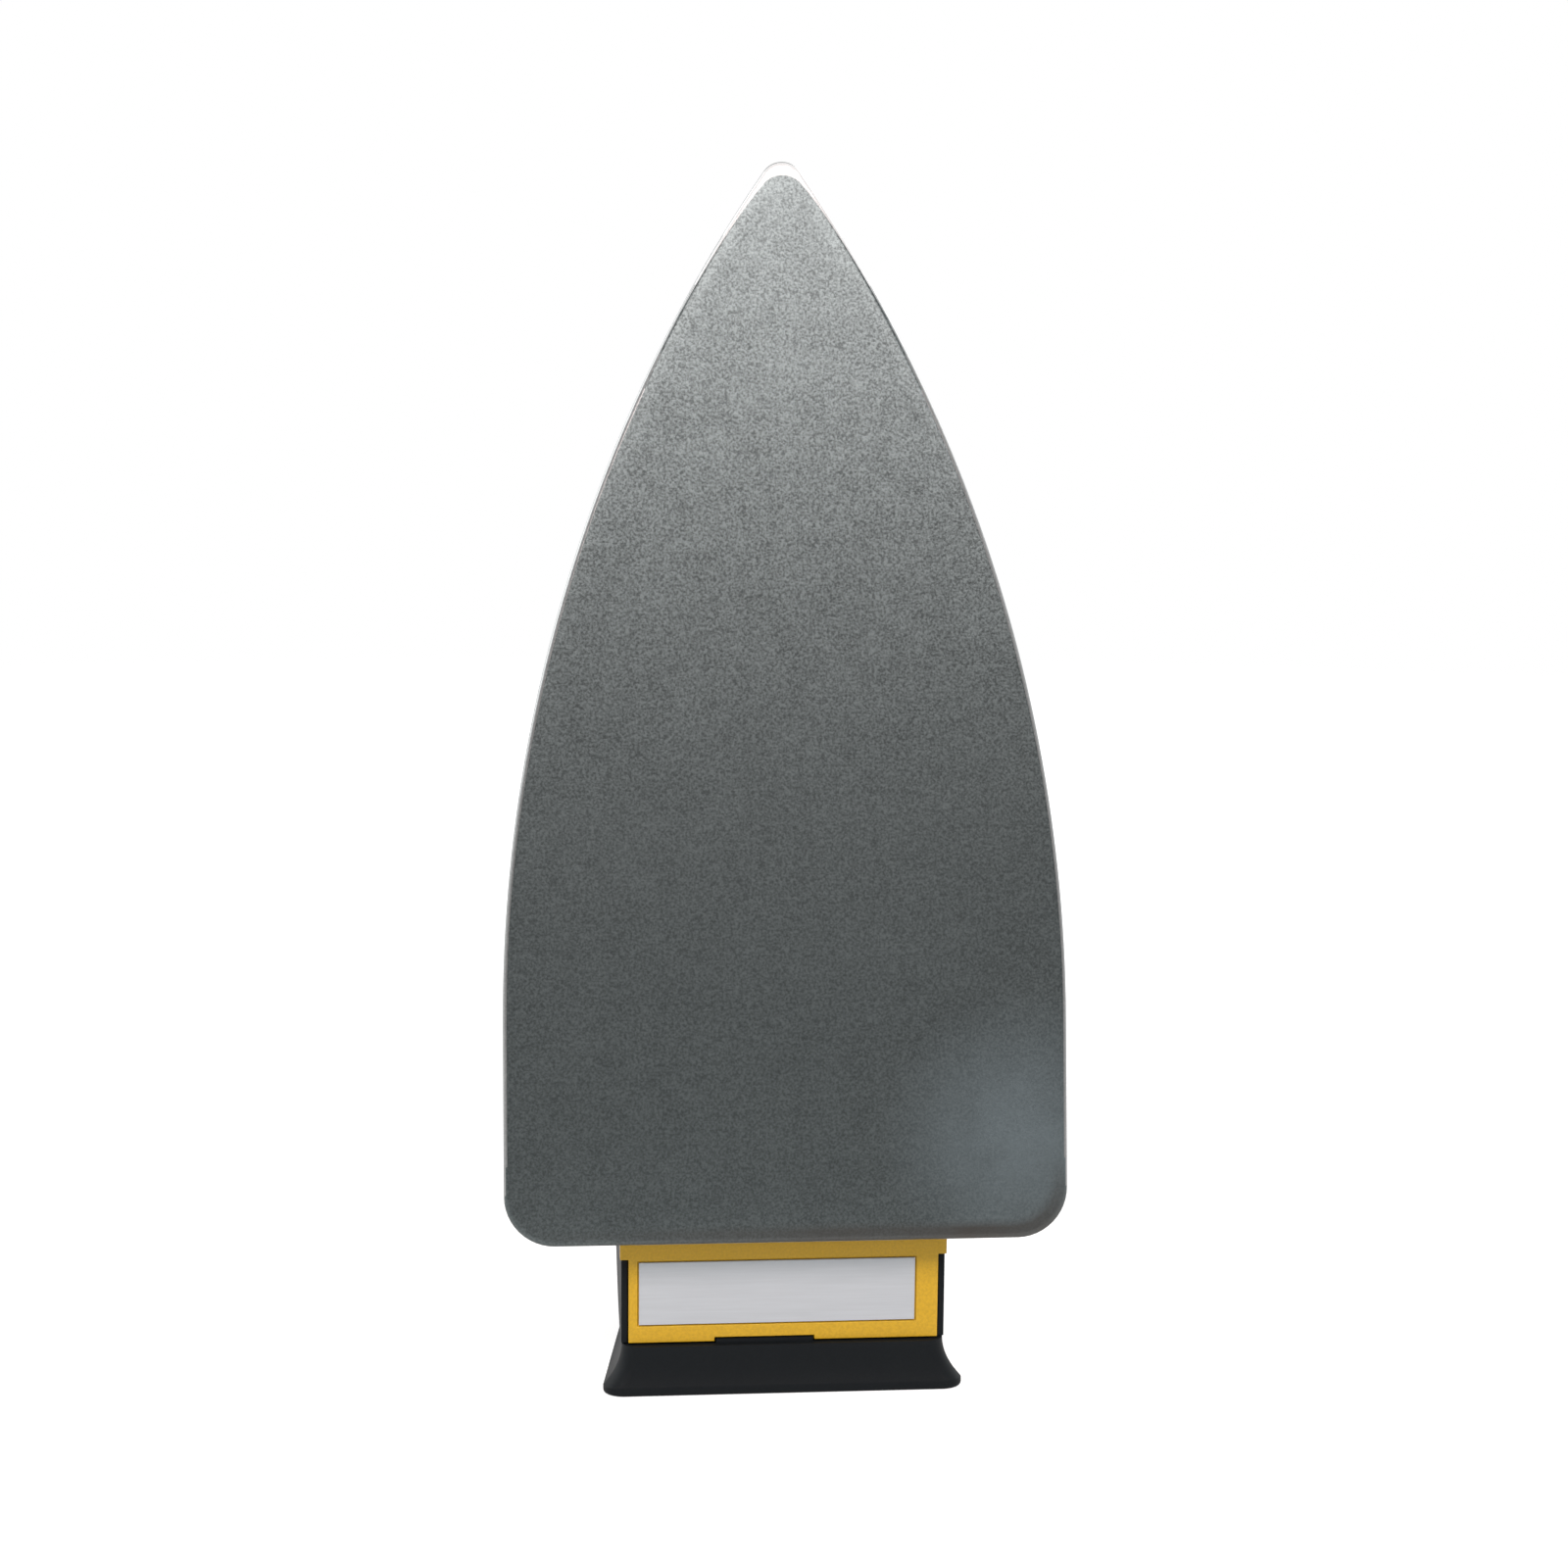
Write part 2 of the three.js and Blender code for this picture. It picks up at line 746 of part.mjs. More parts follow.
// A section is a housing's at the gap's ends, with straight sides below its widest line, and turns
// into the grip's, which is round all the way, over the first stretch of the gap.
function handleRing(z, wall) {
  const bottom = sectionBottom(z);
  const top = sectionTop(z) - wall;
  const atRear = z < gapMiddle;
  const grip = smooth((gapHalf - Math.abs(z - gapMiddle)) / gapBlend);
  const housed = (top + (atRear ? -housingFloorDrop : 0)) / 2;
  const widest = THREE.MathUtils.lerp(housed, (top + bottom) / 2, grip);
  const upper = THREE.MathUtils.lerp(atRear ? housingExponent : gripExponent, gripExponent, grip);
  const lower = THREE.MathUtils.lerp(housingFootExponent, gripExponent, grip);
  // Where the underside lies above the widest line, the upper curve starts from the underside.
  const line = Math.max(widest, bottom);
  const start = Math.asin(((line - widest) / (top - widest)) ** (upper / 2));
  const point = (share, y) => new THREE.Vector3(share * (sectionHalfWidth(y, z) - wall), y, z);
  const over = evenly(start, Math.PI - start, sectionPoints / 2).map((a) => {
    const c = Math.cos(a);
    const rise = Math.sin(a) ** (2 / upper);
    return point(Math.sign(c) * Math.abs(c) ** (2 / upper), widest + (top - widest) * rise);
  });
  const under = evenly(0, Math.PI, sectionPoints / 2).slice(1, -1).map((a) => {
    const c = -Math.cos(a);
    const drop = Math.sin(a) ** (2 / lower);
    const share = Math.cos(start) ** (2 / upper) * Math.sign(c) * Math.abs(c) ** (2 / lower);
    return point(share, line - (line - bottom) * drop);
  });
  return [...over, ...under];
}

// Rings closer together where the finger gap turns down at its ends.
function gapStations(steps) {
  const stations = [];
  for (let i = 0; i <= steps; i++) {
    stations.push(gapMiddle - gapHalf * Math.cos((Math.PI * i) / steps));
  }
  return stations;
}

// Closer together towards the back of the housing, where it turns down.
const backStations = (to, steps) =>
  evenly(0, 1, steps).map((share) =>
    THREE.MathUtils.lerp(housingBack + seat, to, share ** backCrowding),
  );

const handleCutter = (y0, y1, z0, z1) => block(-reach, reach, y0, y1, z0, z1);

// The housing's form drawn in by a wall, shut at the heel's end by a floor square to the table.
function housingRoom(wall, floor) {
  const rings = backStations(wireOpeningFront, handleSteps.room).map((z) => handleRing(z, wall));
  const beyondEnd = rings[0].map((p) => p.clone().setZ(-soleClearance));
  const end = handleCutter(-reach, reach, -reach, heelHeight + floor).applyMatrix4(lying);
  return cut(loft([beyondEnd, ...rings]), end);
}

function handle() {
  const back = housingBack + seat;
  const backRing = handleRing(back, 0);
  const rings = [
    backRing.map((p) => p.clone().setZ(-soleClearance)),
    ...backStations(gapRear - seat, handleSteps.back).map((z) => handleRing(z, 0)),
    ...gapStations(handleSteps.gap).slice(1, -1).map((z) => handleRing(z, 0)),
    ...evenly(gapFront + seat, handleFront - overrun, handleSteps.front).map((z) => handleRing(z, 0)),
  ];
  const outer = loft(rings);
  const belowHousing = handleCutter(-reach, coverTop - 4 * coverWall, coverInset, reach);
  const coverRoom = coverForm(-seat, 0);
  const heelEnd = handleCutter(-reach, reach, -reach, heelHeight).applyMatrix4(lying);
  const wallEdge = new THREE.BoxGeometry(2 * reach, reach, 2 * reach)
    .translate(0, reach / 2 - panelProud, 0)
    .applyMatrix4(onPanel);
  const flangeRoom = handleCutter(-panelThickness - seat, reach, -reach, flangeHeight + seat).applyMatrix4(
    onPanel,
  );
  const panelRoom = block(
    -panelHalfWidth - seat,
    panelHalfWidth + seat,
    -panelThickness - seat,
    reach,
    0,
    reach,
  ).applyMatrix4(onPanel);
  const shell = cut(
    outer,
    belowHousing,
    coverRoom,
    heelEnd,
    wallEdge,
    flangeRoom,
    panelRoom,
    housingRoom(housingWall, housingEndWall),
  );
  const walls = housingRoom(housingWall / 2, housingEndWall / 2);
  const shelf = common(
    block(-reach, reach, shelfUnder, shelfUnder + shelfThickness, -soleClearance, shelfFront),
    walls,
  );
  const posts = [-1, 1].map((side) => {
    const top = coverTop + handleScrewLength;
    const post = rod(handlePostRadius, coverTop + seat, top, side * handleScrewRearX, handleScrewRearZ);
    const rib = block(
      side * handleScrewRearX - housingWall,
      side * handleScrewRearX + housingWall,
      coverTop + seat,
      top,
      handleScrewRearZ,
      wireOpeningFront + handlePostRadius,
    );
    return common(join(post, rib), outer);
  });
  const bracketBosses = [-1, 1].map((side) =>
    rod(
      handlePostRadius,
      rearBracketTongue + rearBracketThickness + seat,
      shelfUnder + shelfThickness,
      side * housingScrewX,
      housingScrewZ,
    ),
  );
  const bosses = bracketBosses.map((boss) => cut(boss, coverRoom));
  const glandCollar = rod(glandRadius + housingWall, -glandLength, seat, 0, 0, roundSteps).applyMatrix4(
    glandPlace,
  );
  const built = join(shell, shelf, ...posts, ...bosses, common(glandCollar, outer));

  const screwBores = [
    [-handleScrewRearX, handleScrewRearZ],
    [handleScrewRearX, handleScrewRearZ],
    [0, handleScrewFrontZ],
  ].map(([x, z]) => rod(screwRadius + seat, 0, coverTop + handleScrewLength - screwRadius, x, z));
  const bracketBores = [-1, 1].map((side) =>
    rod(
      screwRadius + seat,
      0,
      rearBracketTongue + housingScrewLength + screwRadius,
      side * housingScrewX,
      housingScrewZ,
    ),
  );
  const heelBores = [-1, 1].map((side) =>
    heelScrewShape(seat, overrun)
      .translate(side * heelScrewX, heelScrewY, heelHeight + housingEndWall)
      .applyMatrix4(lying),
  );
  const lensPocket = rod(lensRadius + seat, -lensLength, lensProud + overrun, 0, 0, roundSteps).applyMatrix4(
    lensPlace,
  );
  const lampWireBore = rod(lampBore, 0, lensHeight, 0, lampBoreZ);
  const glandHole = rod(glandRadius + seat, -glandLength * 2, overrun, 0, 0, roundSteps).applyMatrix4(
    glandPlace,
  );
  const glandSpot = rod(glandFlange + seat, 0, glandLength * 2, 0, 0, roundSteps).applyMatrix4(glandPlace);
  return cut(
    built,
    ...screwBores,
    ...bracketBores,
    ...heelBores,
    lensPocket,
    lampWireBore,
    glandHole,
    glandSpot,
    terminalScrewBores(),
  );
}

// Holes in the shelf for the screws of the terminal block and of the cord clamp
function terminalScrewBores() {
  const bores = [blockScrewPlace, ...clampScrewPlaces].map(([x, z]) =>
    rod(smallScrewRadius + seat, shelfUnder - overrun, shelfUnder + shelfThickness + overrun, x, z),
  );
  return join(...bores);
}

// Places of the lens and of the cord bush: local +Y points out of the handle. The lens is set into
// the front post, where its rear face stands at the lens's height.
const gapRise = (lensHeight - coverTop + 2 * coverWall) / (gripUnder - coverTop + 2 * coverWall);
const lensFace = gapMiddle + gapHalf * (1 - gapRise ** gapExponent) ** (1 / gapExponent) + lensSink;
const lampBoreZ = lensFace + lampBoreInset;
const lensPlace = new THREE.Matrix4()
  .makeTranslation(0, lensHeight, lensFace)
  .multiply(new THREE.Matrix4().makeRotationX(-radians(90 - lensTilt)));
const glandPlace = new THREE.Matrix4()
  .makeTranslation(0, sectionTop(glandZ) - glandSink, glandZ)
  .multiply(new THREE.Matrix4().makeRotationX(-radians(glandTilt)));

// A pan-head screw: its head's underside at y = 0, its shank along -Y. The head is upright to a rim,
// then draws in to a crown.
const screwRimShare = 0.6;
const screwCrownShare = 0.7;
const slotWidthShare = 0.25;
const slotDepthShare = 0.5;

function screwShape(radius, head, headHeight, length, grow = 0) {
  return turned(
    [
      [0, -length - grow],
      [radius + grow, -length - grow],
      [radius + grow, 0],
      [head + grow, 0],
      [head + grow, headHeight * screwRimShare],
      [head * screwCrownShare + grow, headHeight + grow],
      [0, headHeight + grow],
    ],
    screwSteps,
  );
}

function slotted(screw, head, headHeight) {
  const half = (head * slotWidthShare) / 2;
  const depth = headHeight * slotDepthShare;
  const slot = block(-head - overrun, head + overrun, headHeight - depth, 2 * headHeight, -half, half);
  return cut(screw, slot);
}

const machineScrew = (length) =>
  slotted(screwShape(screwRadius, screwHead, screwHeadHeight, length), screwHead, screwHeadHeight);
const smallScrew = (length) =>
  slotted(
    screwShape(smallScrewRadius, smallScrewHead, smallScrewHeadHeight, length),
    smallScrewHead,
    smallScrewHeadHeight,
  );

// The heel's screws stand on +Z in the standing frame.
const heelScrewShape = (grow, headGrow) =>
  screwShape(screwRadius, screwHead + headGrow, screwHeadHeight + headGrow, heelScrewLength, grow).rotateX(
    Math.PI / 2,
  );

// Heel rest, in the standing frame

function heelRing(z, halfWidth, farHalfWidth, near, far, nearCorner, farCorner) {
  const corners = [
    [farHalfWidth - farCorner, far - farCorner, farCorner, 0],
    [-farHalfWidth + farCorner, far - farCorner, farCorner, 1],
    [-halfWidth + nearCorner, near + nearCorner, nearCorner, 2],
    [halfWidth - nearCorner, near + nearCorner, nearCorner, 3],
  ];
  return corners.flatMap(([x, y, r, quarter]) =>
    evenly(0, 1, cornerSteps).map((share) => {
      const a = (Math.PI / 2) * (quarter + share);
      return new THREE.Vector3(x + r * Math.cos(a), y + r * Math.sin(a), z);
    }),
  );
}

// The foot's outer form, drawn in by a wall, from one height to another. It flares towards the table.
function heelForm(wall, from, to, steps) {
  return loft(
    evenly(from, to, steps).map((z) => {
      const up = Math.min(Math.max((z - heelLip) / (heelHeight - heelLip), 0), 1);
      const drawn = 1 - (1 - up) ** heelFlareExponent;
      const lipRound = Math.max(heelLipRound - z, 0);
      const inset = wall + lipRound;
      return heelRing(
        z,
        THREE.MathUtils.lerp(restHalfWidth, heelTopHalfWidth, drawn) - inset,
        THREE.MathUtils.lerp(restFarHalfWidth, heelTopFarHalfWidth, drawn) - inset,
        -restDepth / 2 + heelTopNear * drawn + inset,
        restDepth / 2 - heelTopFar * drawn - inset,
        heelNearCorner,
        heelFarCorner,
      );
    }),
  );
}

function heelRest() {
  const outer = heelForm(0, 0, heelHeight - seat, heelSteps);
  const hollow = common(
    heelForm(heelWall, heelWall, heelHeight, heelHollowSteps),
    block(-reach, reach, -reach, heelHollowFar, 0, reach),
  );
  const bosses = [-1, 1].map((side) =>
    rod(handlePostRadius, heelLip, heelHeight - seat)
      .rotateX(Math.PI / 2)
      .translate(side * heelScrewX, heelScrewY, 0),
  );
  const tongueNear = -restDepth / 2 + heelTopNear + tongueSetback;
  const tongue = block(
    tongueOffset - tongueWidth / 2,
    tongueOffset + tongueWidth / 2,
    tongueNear,
    tongueNear + panelThickness,
    heelHeight - heelWall,
    heelHeight + tongueHeight,
  );
  const bores = [-1, 1].map((side) =>
    rod(screwRadius + seat, heelHeight - heelScrewLength + housingEndWall, heelHeight + overrun)
      .rotateX(Math.PI / 2)
      .translate(side * heelScrewX, heelScrewY, 0),
  );
  return cut(join(cut(outer, hollow), tongue, ...bosses), ...bores);
}

// Rear cover: a T-shaped plate with clips behind it and a recess for the label

function rearCover() {
  const notchLeft = tongueOffset - tongueWidth / 2 - seat;
  const notchRight = tongueOffset + tongueWidth / 2 + seat;
  const outline = [
    [-flangeHalfWidth, 0],
    [flangeHalfWidth, 0],
    [flangeHalfWidth, flangeHeight],
    [panelHalfWidth, flangeHeight],
    [panelHalfWidth, panelLength],
    [notchRight, panelLength],
    [notchRight, panelLength - notchDepth],
    [notchLeft, panelLength - notchDepth],
    [notchLeft, panelLength],
    [-panelHalfWidth, panelLength],
    [-panelHalfWidth, flangeHeight],
    [-flangeHalfWidth, flangeHeight],
  ];
  const face = plate(outline, -panelThickness, 0);
  const clips = [-1, 1].map((side) =>
    block(
      side * clipSpread - clipWidth / 2,
      side * clipSpread + clipWidth / 2,
      -panelThickness - clipDepth,
      -panelThickness + overrun,
      flangeHeight,
      flangeHeight + clipThickness,
    ),
  );
  const recess = block(
    labelOffset - labelWidth / 2 - seat,
    labelOffset + labelWidth / 2 + seat,
    -labelRecess,
    overrun,
    labelDrop - seat,
    labelDrop + labelHeight + seat,
  );
  return cut(join(face, ...clips), recess).applyMatrix4(onPanel);
}

// Flat plates, strips and brackets

// The outline of a plan drawn in to a plate, as [x, z] points.
const outlineOf = (plan) => soleRing({ y: 0, ...plan }).map((p) => [p.x, p.z]);

function heatShield() {
  const outline = outlineOf({
    halfWidth: shieldHalfWidth,
    rear: shieldRear,
    tip: shieldTip,
    noseRadius: shieldNoseRadius,
    arcStart: shieldRear + shieldStraight,
    cornerRadius: coverCornerRadius,
  });
  const holes = shieldPosts.map(([x, z]) =>
    rod(screwRadius + seat, shieldHeight - overrun, shieldHeight + 2 * overrun, x, z),
  );
  const shaftHole = rod(
    shaftThread + 2 * seat,
    shieldHeight - overrun,
    shieldHeight + 2 * overrun,
    0,
    dialCentre,
  );
  return cut(plate(outline, shieldHeight, shieldHeight + shieldThickness), ...holes, shaftHole);
}

function rearBracket() {
  const tongueBase = rearBracketTongue;
  const top = tongueBase + rearBracketThickness;
  const foot = bentStrip(
    [
      [rearBracketRise, solePlatform + seat],
      [rearBracketFoot, solePlatform + seat],
      [rearBracketFoot, solePlatform + seat + rearBracketThickness],
      [rearBracketRise + rearBracketThickness, solePlatform + seat + rearBracketThickness],
      [rearBracketRise + rearBracketThickness, top],
      [rearBracketRise, top],
    ],
    -rearBracketFootHalfWidth,
    rearBracketFootHalfWidth,
  );
  const tongue = block(
    -rearBracketHalfWidth,
    rearBracketHalfWidth,
    tongueBase,
    top,
    rearBracketEnd,
    rearBracketRise + rearBracketThickness / 2,
  );
  const footHoles = [-1, 1].map((side) =>
    rod(screwRadius + seat, solePlatform, rearBracketTongue - seat, side * bracketScrewX, bracketScrewZ),
  );
  const tongueHoles = [-1, 1].map((side) =>
    rod(screwRadius + seat, tongueBase - overrun, top + overrun, side * housingScrewX, housingScrewZ),
  );
  return cut(join(foot, tongue), ...footHoles, ...tongueHoles);
}

function noseBracket() {
  const base = padTop + seat;
  const over = noseShelfTop + seat;
  const strip = bentStrip(
    [
      [noseBossZ - noseBracketWidth / 2, base],
      [noseShelfStart - noseShelfThickness, base],
      [noseShelfStart - noseShelfThickness, over],
      [noseHookZ, over],
      [noseHookZ, over + noseBracketThickness],
      [noseShelfStart - noseShelfThickness - noseBracketThickness, over + noseBracketThickness],
      [noseShelfStart - noseShelfThickness - noseBracketThickness, base + noseBracketThickness],
      [noseBossZ - noseBracketWidth / 2, base + noseBracketThickness],
    ],
    -noseBracketWidth / 2,
    noseBracketWidth / 2,
  );
  return cut(strip, rod(screwRadius + seat, padTop, over, 0, noseBossZ));
}

// Heating element and its ends

const heatingElement = () => tube(elementPath, elementRadius, elementFacets);
const bead = () => ring(pinRadius + seat, beadRadius, 0, beadLength, smallSteps);
const pin = () => rod(pinRadius, 0, pinLength);

// Thermostat: heights of the layers clamped in its stack

const bimetalBase = padTop + seat;
const firstWasher = bimetalBase + bimetalThickness + seat;
const setArmBase = firstWasher + washerThickness + seat;
const secondWasher = setArmBase + armThickness + seat;
const movingArmBase = secondWasher + washerThickness + seat;
const thirdWasher = movingArmBase + armThickness + seat;
const rivetHeadBase = thirdWasher + washerThickness + seat;
const contactHeight = (washerThickness + seat) / 2;
const armTail = stackCentre - washerRadius;
const tabEnd = armTail - tabLength;

const stripPlate = (z0, z1, base, thickness) =>
  block(-stripWidth / 2, stripWidth / 2, base, base + thickness, z0, z1);
const rivetHoleAt = (base) => rod(rivetRadius + seat, base - overrun, base + 2 * overrun, 0, stackCentre);
const armTab = (side, base) =>
  block(
    Math.min(side * tabInner, (side * stripWidth) / 2),
    Math.max(side * tabInner, (side * stripWidth) / 2),
    base,
    base + armThickness,
    tabEnd,
    stackCentre,
  );

function bimetalStrip() {
  const strip = stripPlate(armTail, pushPinZ + stripNose, bimetalBase, bimetalThickness);
  return cut(strip, rivetHoleAt(bimetalBase));
}

function setArm() {
  const arm = join(
    stripPlate(armTail, dialCentre + stripNose, setArmBase, armThickness),
    armTab(1, setArmBase),
    rod(contactRadius, setArmBase, setArmBase + armThickness + contactHeight, 0, contactZ),
  );
  const pinHole = rod(
    pushPinRadius + 2 * seat,
    setArmBase - overrun,
    setArmBase + 2 * overrun,
    0,
    pushPinZ,
  );
  return cut(arm, rivetHoleAt(setArmBase), pinHole);
}

function movingArm() {
  const arm = join(
    stripPlate(armTail, pushPinZ + stripNose - overrun, movingArmBase, armThickness),
    armTab(-1, movingArmBase),
    rod(contactRadius, movingArmBase - contactHeight, movingArmBase + armThickness, 0, contactZ),
  );
  return cut(arm, rivetHoleAt(movingArmBase));
}

const washer = () => ring(rivetRadius + seat, washerRadius, 0, washerThickness, smallSteps);
const stackRivet = () =>
  join(
    rod(rivetRadius, padTop - soleScrewLength + seat, rivetHeadBase + overrun, 0, stackCentre),
    rod(rivetHead, rivetHeadBase, rivetHeadBase + rivetRadius, 0, stackCentre),
  );
const pushPin = () =>
  rod(pushPinRadius, bimetalBase + bimetalThickness + seat, movingArmBase - seat, 0, pushPinZ);

function bridge() {
  const inner = bridgeInner;
  const outer = inner + bridgeThickness;
  const far = outer + bridgeFoot;
  const base = solePlatform + seat;
  const half = [
    [far, base],
    [far, base + bridgeThickness],
    [outer, base + bridgeThickness],
    [outer, bridgeTop],
  ];
  const under = [
    [-inner, base],
    [-inner, bridgeTop - bridgeThickness],
    [inner, bridgeTop - bridgeThickness],
    [inner, base],
  ];
  const shape = new THREE.Shape(
    [...half, ...half.map(([x, y]) => [-x, y]).reverse(), ...under].map(
      ([x, y]) => new THREE.Vector2(x, y),
    ),
  );
  const strip = new THREE.ExtrudeGeometry(shape, { depth: bridgeWidth, bevelEnabled: false }).translate(
    0,
    0,
    dialCentre - bridgeWidth / 2,
  );
  const footHoles = bridgeScrews.map(({ x, z }) =>
    rod(screwRadius + seat, base - overrun, padTop + overrun, x, z),
  );
  const shaftHole = rod(
    shaftThread + seat,
    bridgeTop - 2 * bridgeThickness,
    bridgeTop + overrun,
    0,
    dialCentre,
  );
  return cut(strip, ...footHoles, shaftHole);
}

// Dial, its shaft and the scale ring

const dialBase = coverTop + dialLift;
const dialTop = dialBase + dialHeight;

function dialShaft() {
  const tipBase = setArmBase + armThickness + seat;
  const end = dialTop - dialCap - seat;
  return turned([
    [0, tipBase],
    [shaftTip, tipBase],
    [shaftTip, shaftTipTop],
    [shaftThread, shaftTipTop],
    [shaftThread, shaftThreadTop],
    [shaftRadius, shaftThreadTop],
    [shaftRadius, end],
    [0, end],
  ]).translate(0, 0, dialCentre);
}

function dial() {
  const skirt = turned(
    [
      [0, dialBase],
      [dialRadius, dialBase],
      [dialRadius, dialBase + dialFlange],
      [dialDrumRadius, dialBase + 2 * dialFlange],
      [0, dialBase + 2 * dialFlange],
    ],
    2 * roundSteps,
  );
  const grooves = 4 * dialFlutes;
  const rim = Array.from({ length: grooves }, (_, i) => {
    const a = (2 * Math.PI * i) / grooves;
    const r = dialDrumRadius - (fluteDepth / 2) * (1 + Math.cos(dialFlutes * a));
    return [r * Math.cos(a), r * Math.sin(a)];
  });
  const drum = plate(rim, dialBase + dialFlange, dialTop);
  const hollow = ring(
    dialHubRadius,
    dialDrumRadius - fluteDepth - dialSkin,
    dialBase - overrun,
    dialTop - dialCap,
  );
  const bore = rod(shaftRadius + seat, dialBase - overrun, dialTop - dialCap, 0, 0, roundSteps);
  return cut(join(skirt, drum), hollow, bore).translate(0, 0, dialCentre);
}

function scaleRing() {
  const base = coverTop + seat;
  const band = ring(dialRadius + bezelGap, bezelOuter, base, base + bezelHeight, 2 * roundSteps);
  return band.translate(0, 0, dialCentre);
}

// Pilot lamp and cord bush, with the axis along +Y and the seat at y = 0

const lens = () =>
  turned([
    [0, lensProud - lensWall],
    [lensRadius - lensWall, 0],
    [lensRadius - lensWall, seat - lensLength],
    [lensRadius, seat - lensLength],
    [lensRadius, 0],
    [lensRadius * lensDomeShare, lensProud * lensDomeShare],
    [0, lensProud],
  ]);
const lamp = () => rod(lampRadius, seat - lensLength, seat - lensLength + lampLength - overrun);
const cordBush = () =>
  turned(
    [
      [glandBore, -glandLength],
      [glandRadius, -glandLength],
      [glandRadius, seat],
      [glandFlange, seat],
      [glandFlange, glandFlangeHeight],
      [glandRadius, glandFlangeHeight + seat],
      [glandBore, glandFlangeHeight + seat],
      [glandBore, -glandLength],
    ],
    roundSteps,
  );

// Terminals

const shelfTop = shelfUnder + shelfThickness;
const blockBase = shelfTop + seat;
const blockTop = blockBase + blockHeight;
const blockFront = blockCentreZ + blockDepth / 2;
const portHeight = blockBase + blockHeight / 2;
const portXs = [-1, 0, 1].map((i) => blockCentreX + i * portSpacing);
const terminalScrewZ = blockFront - terminalScrewInset;

function terminalBlock() {
  const body = block(
    blockCentreX - blockWidth / 2,
    blockCentreX + blockWidth / 2,
    blockBase,
    blockTop,
    blockFront - blockDepth,
    blockFront,
  );
  const ports = portXs.map((x) =>
    rod(portRadius, -blockDepth, blockDepth)
      .rotateX(Math.PI / 2)
      .translate(x, portHeight, blockCentreZ),
  );
  const screwHoles = portXs.map((x) =>
    rod(smallScrewRadius + seat, portHeight, blockTop + overrun, x, terminalScrewZ),
  );
  const fixing = rod(smallScrewRadius + seat, blockBase - overrun, blockTop + overrun, ...blockScrewPlace);
  return cut(body, ...ports, ...screwHoles, fixing);
}

function cordClamp() {
  const base = shelfTop + seat;
  const half = clampWidth / 2;
  const inner = half - clampFoot;
  const shape = new THREE.Shape();
  shape.moveTo(-half, 0);
  shape.lineTo(-inner, 0);
  shape.lineTo(-inner + clampArch, clampArch);
  shape.lineTo(inner - clampArch, clampArch);
  shape.lineTo(inner, 0);
  shape.lineTo(half, 0);
  shape.lineTo(half, clampThickness);
  shape.lineTo(inner + seat, clampThickness);
  shape.lineTo(inner - clampArch + seat, clampArch + clampThickness);
  shape.lineTo(-inner + clampArch - seat, clampArch + clampThickness);
  shape.lineTo(-inner - seat, clampThickness);
  shape.lineTo(-half, clampThickness);
  const strip = new THREE.ExtrudeGeometry(shape, { depth: clampDepth, bevelEnabled: false }).translate(
    clampCentreX,
    base,
    blockCentreZ - clampDepth / 2,
  );
  const holes = clampScrewPlaces.map(([x, z]) =>
    rod(smallScrewRadius + seat, base - overrun, base + 2 * clampThickness, x, z),
  );
  return cut(strip, ...holes);
}

const sleeveOf = (points) => tube(through(...points), leadRadius, leadFacets);

// Leads: out of a port of the terminal block and down through the opening in the cover

function outOfPort(x, dropX) {
  const saved = leadBend * (1 - Math.SQRT1_2);
  return [
    [x, portHeight, blockFront - portDepth],
    [x, portHeight, wireDropZ - leadBend],
    [(x + dropX) / 2, portHeight - saved, wireDropZ - saved],
    [dropX, portHeight - leadBend, wireDropZ],
  ];
}

// Down onto one of the element's pins from inside the cover
const ontoPin = (side) =>
  [
    [24.4, 36, 19],
    [25, 36.9, 16],
    [25, 35.5, 13.3],
  ]
    .map(([x, y, z]) => [side * x, y, z])
    .concat([[side * elementEndX, elementEndTop + pinLength + 2 * seat, elementEndZ]]);

const tabX = (tabInner + stripWidth / 2) / 2;
const supplyLeadPoints = [...outOfPort(portXs[2], 0), [0, fuseTop + seat, wireDropZ]];
const liveLeadPoints = [
  [0, fuseTop - fuseLength - seat, wireDropZ],
  [0, 35.5, 15.5],
  [-1, 30, 19],
  [-2.6, 24, 30],
  [-tabX, 20.3, 44],
  [-tabX, movingArmBase + armThickness / 2, 54],
  [-tabX, movingArmBase + armThickness / 2, tabEnd - seat],
];
const neutralLeadPoints = [
  ...outOfPort(portXs[0], neutralDropX),
  [neutralDropX, 50, wireDropZ],
  [-13, 43, 15.5],
  [-16.5, 36.5, 19],
  [-21.5, 34, 21],
  ...ontoPin(-1),
];
const elementLinkPoints = [
  [tabX, setArmBase + armThickness / 2, tabEnd - seat],
  [tabX, setArmBase + armThickness, 54],
  [6.5, 20, 44],
  [12, 26, 33.5],
  [18.5, 31.5, 25],
  ...ontoPin(1),
];
const earthLeadPoints = [
  ...outOfPort(portXs[1], earthDropX),
  [earthDropX, 50, wireDropZ],
  [-8, 42, 15.3],
  [-11, 34, 15.8],
  [-13.4, 26, bracketScrewZ],
  [-bracketScrewX, 19, bracketScrewZ],
  [-bracketScrewX, solePlatform + rearBracketThickness + screwHeadHeight + 3 * seat, bracketScrewZ],
];

